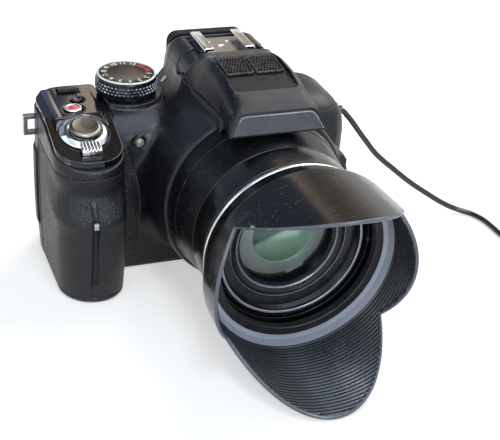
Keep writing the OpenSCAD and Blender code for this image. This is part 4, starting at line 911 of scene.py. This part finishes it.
# Front glass, the cell ring painted pale as a painted reflection, and the coated element behind it with
# painted light on its coating
def add_glass():
    rim_r = GLASS_R - 0.1
    rings = 14
    back = [(rim_r * k / rings, glass_at(rim_r * k / rings) - GLASS_T, 0) for k in range(rings)]
    front = [(rim_r * k / rings, glass_at(rim_r * k / rings), 0) for k in range(rings, -1, -1)]
    spun("front_lens", back + front, LENS, 96, 0.2, "zoom_stage_2", "glass", "_ground")
    behind = GLASS_T + 0.3
    wide_r = GLASS_R - 0.15
    middle_r = 14
    rim_h, cell_h = glass_at(wide_r) - behind, glass_at(CELL_R) - behind
    cell = [(CELL_R, cell_h - CELL_T), (wide_r, rim_h - CELL_T), (wide_r, rim_h),
            (middle_r, glass_at(middle_r) - behind), (CELL_R + 0.5, cell_h), (CELL_R, cell_h - 0.4)]
    piece("lens_cell", lathe("lens_cell", cell, LENS, 96, 0.15), "zoom_stage_2", "cell_ring_painted_reflection")
    element_r = CELL_R - 0.1
    foot = glass_at(element_r) - behind - CELL_T
    element = [(0, foot), (element_r, foot, 0.3)]
    for k in range(10, -1, -1):
        r = element_r * k / 10
        element.append((r, glass_at(r) - behind - 0.5, 0))
    second = lathe("second", element, LENS, 80, 0.2)
    piece("lens_second_element", second, "zoom_stage_2", "coating_with_painted_light")


# Height of the front glass at a radius
def glass_at(r):
    return GLASS_H - GLASS_SPHERE_R + math.sqrt(GLASS_SPHERE_R ** 2 - r * r)


# Finish of the front barrel: bright rim of worn metal with a painted highlight, slate seat whose light inner
# edge is a painted highlight, black elsewhere
def barrel_finish_with_highlights(r, h, seat):
    if h > FACE_H - 0.16 and r > THREAD_R - 0.1:
        return 3
    if r > GLASS_R + 4.3 and abs(h - seat) < 0.05:
        return 1
    if abs(r - GLASS_R - 4) < 0.3 and h > seat - 0.4:
        return 2
    return 0


# Height of the petal hood's rim at an angle round the lens
def hood_rim(degrees):
    a = abs((degrees + 180) % 360 - 180)
    a = min(a, 180 - a)
    if a <= HOOD_SPAN:
        return mix(HOOD_TIP_H, HOOD_NOTCH_H, (a / HOOD_SPAN) ** 2)
    return HOOD_NOTCH_H + HOOD_SIDE * (1 - ((a - 90) / (90 - HOOD_SPAN)) ** 2)


# Radius of the hood's outside at a height
def hood_out_r(h):
    return mix(HOOD_R, HOOD_TIP_R, (h - HOOD_LIP_H) / (HOOD_TIP_H - HOOD_LIP_H))


# A column of the hood runs up the inside over its ribs, round the rim and down the outside:
# radius, height and finish of each point
def hood_column(rim):
    top = rim - HOOD_EDGE
    lip, lip_h, neck, back = HOOD_LIP_R, HOOD_LIP_H, TUBE_FRONT_R, HOOD_BACK_H
    column = [(neck + 0.2, lip_h - 3.2, 2), (lip, lip_h - 2.4, 2), (lip, lip_h + 0.5, 2),
              (lip + 0.25, lip_h + 0.75, 2), (lip + 2.7, lip_h + 0.9, 2), (lip + 2.9, lip_h + 0.6, 2),
              (lip + 3.1, lip_h + 0.6, 3), (HOOD_R - HOOD_WALL - 1.5, lip_h + 1.2, 3),
              (HOOD_R - HOOD_WALL - 0.4, lip_h + 3.8, 1)]
    first_rib = lip_h + RIB_FIRST
    for i in range(int((HOOD_TIP_H - first_rib) / RIB_PITCH) + 1):
        for h, lift in ((first_rib + i * RIB_PITCH, 0.0), (first_rib + (i + 0.62) * RIB_PITCH, RIB_DEPTH)):
            low = min(h, top)
            column.append((hood_out_r(low) - HOOD_WALL - (lift if h < top else 0), low, 1))
    # The round of the rim takes the light rim finish, a painted highlight
    for k in range(7):
        a = math.pi * k / 6
        r = hood_out_r(rim) - HOOD_WALL / 2 - HOOD_WALL / 2 * math.cos(a)
        column.append((r, top + HOOD_EDGE * math.sin(a), 4))
    levels = 16
    for i in range(levels + 1):
        h = min(top, mix(HOOD_TIP_H, HOOD_FOOT_H + 0.6, i / levels))
        column.append((hood_out_r(h), h, 0))
    foot = [(hood_out_r(HOOD_FOOT_H) - 0.06, HOOD_FOOT_H - 0.2), (HOOD_R - 0.42, lip_h + 2.6),
            (HOOD_R - 0.78, lip_h + 1.4), (HOOD_R - 1.15, lip_h + 0.4), (HOOD_R - 1.8, lip_h - 1.4),
            (neck + 2.1, back + 1.4), (neck + 1.95, back + 0.9), (neck + 1.8, back + 0.3),
            (neck + 1.5, back), (neck + 0.2, back)]
    return column + [(r, h, 0) for r, h in foot]


def add_hood():
    count = 720
    verts, indices = [], []
    for i in range(count):
        degrees = 360 * i / count
        a = math.radians(degrees)
        column = hood_column(hood_rim(degrees))
        verts += [LENS @ Vector((r * math.sin(a), r * math.cos(a), h)) for r, h, _ in column]
        indices += [finish for _, _, finish in column]
    mesh = mesh_from("lens_hood", verts, quads(count, len(column), True), indices)
    piece("lens_hood_moulded", mesh, "hood", "hood hood_inside hood_lip hood_floor hood_rim",
          ["lens_hood"], sharp=28)


# Mode dial: studded skirt, white rim, dished face and plain numbers
def add_mode_dial():
    place = upright(DIAL_X, DIAL_Y, DIAL_Z)
    r, h = DIAL_R, DIAL_H
    base_r = r - 0.42
    body = [(0, -4), (3, -4), (3, 0, 0), (r - 0.6, 0), (r - 0.6, 1.5), (base_r, 1.9), (base_r, h - 1.35),
            (r - 0.5, h - 1.0), (r - 0.9, h - 0.25), (r - 1.9, h - 0.3), (r - 1.9, h - 0.8), (0, h - 0.8)]
    piece("mode_dial_body", lathe("dial_body", body, place, 120, 0.2), "mode_dial", "satin",
          ["mode_dial"], sharp=25)
    add_dial_studs(place, base_r - 0.05)
    rim = [(r - 1.45, h - 0.3), (r - 0.72, h - 0.62), (r - 0.6, h - 0.35), (r - 1.0, h - 0.02), (r - 1.4, h)]
    piece("dial_rim_line", lathe("dial_rim", rim, place, 120, 0.12), "mode_dial", "white")
    face = [(0, h - 0.8), (r - 1.95, h - 0.8), (r - 1.95, h - 0.14), (r - 4.6, h - 0.16)]
    dish_r = r - 5.2
    for i in range(8):
        at = dish_r * (1 - i / 7)
        face.append((at, h - 0.25 - 0.42 * (1 - (at / dish_r) ** 2), 0))
    spun("dial_face", face, place, 96, 0.12, "mode_dial", "dial", "_dished")
    add_dial_numbers(place)


# Rows of small blunt pyramids, every second row set off by half a step
def add_dial_studs(place, foot_r):
    pitch = 360 / DIAL_STUDS
    half = math.radians(pitch * 0.46)
    verts, faces = [], []
    for row, h in enumerate(DIAL_STUD_ROWS):
        for i in range(DIAL_STUDS):
            mid = math.radians((i + 0.5 * (row % 2)) * pitch)
            faces += shifted(quads(2, 4) + [(4, 5, 6, 7)], len(verts))
            for r, wide, tall in ((foot_r, half, 0.58), (DIAL_R, half * 0.34, 0.2)):
                for a, z in ((mid - wide, h), (mid, h - tall), (mid + wide, h), (mid, h + tall)):
                    verts.append(place @ Vector((r * math.cos(a), r * math.sin(a), z)))
    studs = mesh_from("dial_studs", verts, faces)
    piece("mode_dial_studs", studs, "mode_dial", "stud", sharp=15)


def add_dial_numbers(place):
    ring_r = DIAL_R - 3.4
    whites, reds = [], []
    for i in range(DIAL_MARKS):
        text = bpy.data.curves.new("number", "FONT")
        text.body = str(i + 1)
        text.size = 2.9
        text.offset = 0.05
        text.extrude = 0.03
        text.align_x = "CENTER"
        text.align_y = "CENTER"
        mesh = mesh_of(placed("number", text))
        a = math.radians(DIAL_FIRST - 360 * i / DIAL_MARKS)
        spot = Matrix.Translation((ring_r * math.cos(a), ring_r * math.sin(a), DIAL_H - 0.12))
        mesh.transform(place @ spot @ Matrix.Rotation(a - math.pi / 2, 4, "Z"))
        (reds if i in DIAL_REDS else whites).append(mesh)
    for look, meshes in (("white", whites), ("red", reds)):
        name = "dial_numbers_" + look
        piece(name, joined(name, meshes), "mode_dial", look, sharp=30)


# The panel's middle stands a little higher than its rim, clear of the lever and the buttons
def raise_plateau(mesh):
    co = points_of(mesh)
    x, y, z = (co / MM).T
    tilt = math.radians(PANEL_TILT)
    top = PANEL_Z + np.minimum(0, y - PANEL_BEND_Y) * math.tan(tilt)
    lever_y = PANEL_BEND_Y - SHUTTER_S * math.cos(tilt)
    inside = ramp(x, -71, -70.2) * ramp(x, -51.2, -52) * ramp(y, 22.8, 22) * ramp(y, -13, -12.2)
    inside *= ramp(np.hypot(x - SHUTTER_X, y - lever_y), 10, 10.8)
    inside *= ramp(np.hypot(x - MOVIE_X, y - MOVIE_Y), 4.1, 4.6)
    inside *= ramp(np.hypot(x - BURST_X, y - BURST_Y), 2.9, 3.4)
    inside *= np.maximum(ramp(np.abs(x - POWER_X), 4.2, 4.7), ramp(np.abs(y - POWER_Y), 3.6, 4.1))
    co[:, 2] += PLATEAU_H * MM * inside * ramp(z, top - 1, top - 0.3)
    set_points(mesh, co)


# Controls on the grip's panel
def add_panel():
    panel = skin("top_panel", ["top_panel"], 0.22, 4)
    raise_plateau(panel)
    piece("top_panel_skin", panel, "body", "gloss", ["top_panel"], sharp=0)
    shutter = on_tilt(SHUTTER_X, SHUTTER_S)
    r, low = SHUTTER_R, SHUTTER_LOW
    button = [(0, -4.1), (r - 1, -4.1), (r - 1, low), (r - 0.15, low + 0.1), (r, low + 0.45),
              (r - 0.5, low + 0.85), (r - 1.3, low + 1.1), (r - 1.7, low + 1.0), (r - 3.4, low + 0.86),
              (0, low + 0.78)]
    spun("shutter_button", button, shutter, 96, 0.25, "shutter_button", "button", "_domed")
    seat, top = LEVER_SEAT, LEVER_SEAT + LEVER_T
    ring = [(r - 0.7, seat), (LEVER_R, seat), (LEVER_R, seat + 0.55), (LEVER_R - 1.7, top),
            (r + 0.7, top + 0.1), (r - 0.7, top)]
    parts = [lathe("lever_ring", ring, shutter, 120, 0.2)]
    for i in range(LEVER_RIDGES):
        x = (i - (LEVER_RIDGES - 1) / 2) * LEVER_PITCH
        spot = shutter @ Matrix.Translation((x, -9.6, 0))
        parts.append(bar("ridge", spot, 0.42, 2.8 - 0.05 * x * x, seat, top + 0.6, 0.3))
    parts.append(bar("tab", shutter @ Matrix.Translation((0, -9.4, 0)), 3.75, 2.85, seat, top, 0.4))
    lever = joined("zoom_lever_ridged", parts)
    piece("zoom_lever_ridged", lever, "zoom_lever", "chrome", ["zoom_lever"])
    movie = upright(MOVIE_X, MOVIE_Y, PANEL_Z)
    add_round_button("movie_button", movie, MOVIE_R, 1.4, BUTTON_FOOT, "chrome")
    dot = [(0, 0.9), (MOVIE_R - 1.2, 0.9), (MOVIE_R - 1.2, 1.2), (MOVIE_R - 1.7, 1.45), (0, 1.55)]
    piece("movie_dot", lathe("movie_dot", dot, movie, 64, 0.3), "movie_button", "red_dot")
    # The strip by the panel's edge; its navy tint is a painted reflection
    strip = bar("strip", upright(STRIP_X, STRIP_Y, PANEL_Z), 1.5, 12.5, -0.3, 0.75, 0.3)
    piece("panel_strip", strip, "body", "painted_navy_reflection")
    burst = upright(BURST_X, BURST_Y, PANEL_Z)
    add_round_button("burst_button", burst, BURST_R, 1.2, BUTTON_FOOT, "gloss")
    softened("power_switch", "power_switch", "satin", 0.16, 3)


# A low round button with a rolled rim and a dished middle
def add_round_button(node, place, r, proud, low, look):
    section = [(0, low), (r, low), (r, proud - 0.3), (r - 0.35, proud), (r * 0.72, proud),
               (r * 0.6, proud - 0.25), (0, proud - 0.32)]
    spun(node, section, place, 72, 0.2, node, look)


# Flash head, its bare plate and microphone grilles
def add_flash():
    head = skin("flash_head", ["flash_head"], 0.3, 4)
    relax(head, 260, head_open, 0.5)
    piece("flash_head_skin", head, "flash", "flash", ["flash_head"], sharp=0)
    softened("flash_plate", "flash", "plate", 0.16, 6)
    # A thin light wire along the plate's upper edge and sides: a painted highlight on the step round the
    # plate
    corner = [(12, 80.6), (13.6, 80.2), (14.6, 79.2), (15.4, 78), (17.2, 74.9)]
    line = [(-x, z) for x, z in corner[2::-1]] + corner
    lean = NOSE_LEAN / (NOSE_TOP_Z - NOSE_LOW_Z)
    border = [(x, NOSE_Y - 0.75 - lean * (NOSE_TOP_Z - z), z) for x, z in line]
    piece("flash_plate_painted_highlight", wire("border", border, 0.2, 8), "flash", "edge")
    add_grilles()


# Where the head is smoothed: 1 on its flanks and shoulders, 0 at its seam, nose, rear and sunk field
def head_open(co):
    x, y, z = co.T
    field = np.maximum(ramp(np.abs(x), 13, 14), np.maximum(ramp(y, -36.3, -37.5), ramp(y, -7.6, -6.4)))
    return field * ramp(z, 78, 79.5) * ramp(y, -44, -42) * ramp(y, -1.6, -3)


# Two grilles: a frame round staggered slanted slots
def add_grilles():
    meshes = []
    half_x, half_y = GRILLE_W / 2, GRILLE_L / 2
    for side in (-1, 1):
        spot = MIC_FIELD @ Matrix.Translation((side * GRILLE_X, GRILLE_OFF, 0))
        verts, faces = [], []
        for row in range(SLOT_ROWS):
            for column in range(SLOT_COLUMNS):
                x = (column - SLOT_COLUMNS / 2 + 0.25 + 0.5 * (row % 2)) * SLOT_X
                y = (row - SLOT_ROWS / 2 + 0.5) * SLOT_Y
                faces += shifted(quads(4, 4, True), len(verts))
                for wide, tall, slant, z in ((1.0, 1.0, 0, 0.75), (0.56, 0.7, SLOT_SLANT, 0.75),
                                             (0.5, 0.625, SLOT_SLANT, 0.2), (1.0, 1.0, 0, 0.2)):
                    for sx, sy in ((-1, -1), (1, -1), (1, 1), (-1, 1)):
                        dy = sy * SLOT_Y / 2 * tall
                        verts.append(spot @ Vector((x + sx * SLOT_X / 2 * wide + dy * slant, y + dy, z)))
        meshes.append(mesh_from("slots", verts, faces))
        meshes.append(bar("grille_floor", spot, half_x, half_y, 0, 0.24, 0.1))
        edge = [spot @ Vector((x, y, 0.5)) / MM for x, y in round_corners(half_x, half_y, 1, 4)]
        meshes.append(wire("grille_frame", edge, 0.5, 8, True))
    grilles = joined("mic_grilles_pierced", meshes)
    piece("mic_grilles_pierced", grilles, "flash", "flash", ["mic_grilles"])


# One folded rail of the shoe, with rolled edges and ends
def rail(side):
    top = SHOE_H + 1
    section = eased([(SHOE_IN, 0, 0.1), (SHOE_OUT, 0, 0.1), (SHOE_OUT, top, 0.9), (SHOE_MOUTH, top, 0.45),
                     (SHOE_MOUTH, SHOE_H, 0.45), (SHOE_IN, SHOE_H, 0.2)], 0.3, 4)
    mid = sum(section, Vector((0, 0))) / len(section)
    rings = [(0, 0.82), (0.12, 0.93), (0.4, 1), (SHOE_L - 0.4, 1), (SHOE_L - 0.12, 0.93), (SHOE_L, 0.82)]
    verts = []
    for along, size in rings:
        for point in section:
            spot = mid + (point - mid) * size
            verts.append(mm(side * spot.x, SHOE_MID_Y - SHOE_L / 2 + along, SHOE_FLOOR_Z + spot.y))
    count = len(section)
    last = len(verts) - count
    faces = quads(len(rings), count) + [tuple(range(count)), tuple(range(last, len(verts)))]
    return mesh_from("rail", verts, faces)


# Accessory shoe, strap loops, focus lamp, pointer of the mode dial, eyecup and tripod bush
def add_fittings():
    softened("shoe_plate", "body", "steel", 0.2, 3)
    rails = joined("shoe_rails_folded", [rail(-1), rail(1)])
    piece("shoe_rails_folded", rails, "body", "chrome", ["shoe_rails"])
    softened("strap_lugs", "body", "loop", 0.16, 14)
    r = LAMP_R
    dome = [(0, -3.4), (r - 0.05, -3.4), (r - 0.05, 0.9), (r - 0.4, 1.5), (r - 1.1, 1.9), (0, 2)]
    spun("af_lamp", dome, FOCUS_LAMP, 48, 0.4, "body", "lamp", "_dome")
    bezel = [(r, -0.4), (r + 0.9, -0.4), (r + 0.7, 0.35), (r + 0.1, 0.5), (r, 0.2)]
    piece("lamp_bezel", lathe("lamp_bezel", bezel, FOCUS_LAMP, 64, 0.12), "body", "satin")
    pointer = bar("pointer", turned(*POINTER_PLACE, POINTER_LEAN, "Y"), 1.4, 0.5, -1.2, 0.5, 0.2)
    piece("dial_pointer", pointer, "body", "white")
    softened("eyecup", "body", "soft", 0.35, 6)
    softened("tripod_bush", "body", "brass", 0.25, 3)


# Back and sides: screen, buttons, dials, levers and doors
def add_back():
    softened("screen_shell", "screen", "rear", 0.35, 5)
    for node, radius in (("evf_button", 1.6), ("lock_button", 3), ("play_button", 3), ("display_button", 3),
                         ("delete_button", 3), ("set_button", 4.2)):
        low, high = (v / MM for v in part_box(node))
        mid = (low + high) / 2
        place = turned(mid.x, REAR_Y, mid.z, -90, "X")
        add_round_button(node, place, radius, high.y - REAR_Y, low.y - REAR_Y, "satin")
    for node, voxel, rounds in (("cursor_pad", 0.25, 6), ("rear_dial", 0.25, 3), ("dioptre_dial", 0.25, 3),
                                ("flash_button", 0.25, 3), ("side_zoom_lever", 0.45, 4),
                                ("focus_switch", 0.45, 4)):
        softened(node, node, "satin", voxel, rounds)
    for node in ("battery_door", "socket_door"):
        softened(node, node, "rear", 0.3, 4)


# Nodes that keep their CAD shape and take a better finish
def finish_kept_nodes():
    kept = {
        "eyepiece_lens": "glass", "main_board": "board", "image_sensor": "sensor", "battery": "cell",
        "memory_card": "card", "speaker": "matt", "flash_capacitor": "card", "zoom_motor": "motor",
        "hinge_pins": "satin", "rear_lens": "glass", "flash_window": "window", "flash_tube": "white",
        "screen_glass": "screen",
    }
    for node, key in kept.items():
        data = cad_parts[node].data
        data.materials.clear()
        data.materials.append(looks[key])


add_covers()
add_barrel()
add_optics()
add_hood()
add_mode_dial()
add_panel()
add_flash()
add_fittings()
add_back()
finish_kept_nodes()


# 1 where the camera, a reflection or glass looks at the background
def seen(n):
    path = n.add("ShaderNodeLightPath")
    both = n.times(path.outputs["Is Camera Ray"], path.outputs["Is Glossy Ray"], "MAXIMUM")
    return n.times(both, path.outputs["Is Transmission Ray"], "MAXIMUM")


def sheet(name, corners, material):
    mesh = bpy.data.meshes.new(name)
    mesh.from_pydata(corners, [], [(0, 1, 2, 3)])
    mesh.materials.append(material)
    return placed(name, mesh)


# Pale floor, just under the object
def add_floor():
    material, n, sockets = shader("floor", Base_Color=(0.8, 0.79, 0.775, 1), Roughness=0.9,
                                  Specular_IOR_Level=0.1, Emission_Color=(1, 1, 1, 1))
    n.link(n.times(seen(n), 0.5), sockets["Emission Strength"])
    far = 3.0
    floor = sheet("floor", [(-far, -far, 0), (far, -far, 0), (far, far, 0), (-far, far, 0)], material)
    sink = 0.00005
    floor.location.z = -sink


def add_world():
    world = bpy.data.worlds.new("studio")
    bpy.context.scene.world = world
    world.use_nodes = True
    n = Nodes(world.node_tree)
    world.node_tree.nodes.clear()
    light = n.add("ShaderNodeBackground", Color=(0.92, 0.96, 1, 1), Strength=0.26)
    white = n.add("ShaderNodeBackground", Color=(1, 1, 1, 1), Strength=1.0)
    both = n.add("ShaderNodeMixShader")
    n.link(seen(n), both.inputs["Fac"])
    n.link(light.outputs[0], both.inputs[1])
    n.link(white.outputs[0], both.inputs[2])
    output = n.add("ShaderNodeOutputWorld")
    n.link(both.outputs[0], output.inputs["Surface"])


# A round lamp that looks at the object; its shine is its share in highlights
def add_lamp(name, place, size, power, colour, shine):
    data = bpy.data.lights.new(name, "AREA")
    data.shape = "DISK"
    data.size = size
    data.energy = power
    data.color = colour
    data.specular_factor = shine
    lamp = placed(name, data)
    lamp.location = place
    target = Vector((0, -0.02, 0.04))
    lamp.rotation_euler = (target - Vector(place)).to_track_quat("-Z", "Y").to_euler()


# A card that shows only in reflections: dark, or glowing evenly in a bluish tone
def add_card(name, corners, glow=0.0):
    material, n, sockets = shader(name, Base_Color=(0, 0, 0, 1), Specular_IOR_Level=0,
                                  Emission_Color=(0.68, 0.8, 1, 1), Emission_Strength=glow)
    card = sheet(name, corners, material)
    card.visible_camera = False
    card.visible_diffuse = False
    card.visible_shadow = False
    card.visible_transmission = False
    return n, sockets


# Wall behind the object: bluish at its left, then bright brown, dim brown and pale at its right
def add_wall():
    n, sockets = add_card("wall", [(-1.6, 0.8, 0.22), (1.1, 0.8, 0.22), (1.1, 0.4, 1.5), (-1.6, 0.4, 1.5)])
    axes = n.axes()
    low, high = -0.3, 0.9
    stops = [(-0.3, (0.1, 0.12, 0.16)), (0.1, (0.08, 0.11, 0.16)), (0.122, (0.8, 0.62, 0.46)),
             (0.15, (0.7, 0.56, 0.44)), (0.19, (0.36, 0.31, 0.27)), (0.28, (0.15, 0.135, 0.115)),
             (0.45, (0.2, 0.165, 0.125)), (0.75, (0.46, 0.45, 0.44))]
    colours = n.add("ShaderNodeValToRGB")
    n.link(n.span(axes["X"], low, high), colours.inputs["Fac"])
    marks = colours.color_ramp.elements
    while len(marks) < len(stops):
        marks.new(1)
    for mark, (x, colour) in zip(marks, stops):
        mark.position = (x - low) / (high - low)
        mark.color = (*colour, 1)
    n.link(colours.outputs["Color"], sockets["Emission Color"])
    n.link(n.span(axes["Z"], 0.62, 0.8, 3, 0.8), sockets["Emission Strength"])


add_floor()
add_world()
add_wall()
add_card("dark_ceiling", [(-1.5, 0.22, 1.3), (1.5, 0.22, 1.3), (1.5, 0.4, 1.5), (-1.5, 0.4, 1.5)])
add_card("sky", [(-0.6, -1.1, 0.95), (0.65, -1.1, 0.95), (0.65, 0.18, 1.15), (-0.6, 0.18, 1.15)], 4)
add_card("left", [(-1.2, -0.3, 0.45), (-0.9, 0.9, 0.45), (-0.9, 0.9, 1.2), (-1.2, -0.3, 1.2)], 2)
add_lamp("key", (0.5, 0.3, 0.75), 0.7, 5, (1, 0.98, 0.95), 0.4)
add_lamp("top", (-0.1, -0.42, 0.95), 0.3, 2, (0.9, 0.95, 1), 0.5)
add_lamp("front", (0.0, -1.0, 0.4), 0.42, 4.4, (0.85, 0.92, 1), 1)
add_lamp("fill", (-0.75, -0.5, 0.42), 0.5, 1.4, (0.85, 0.93, 1), 1)
bpy.context.scene.view_settings.view_transform = "Standard"
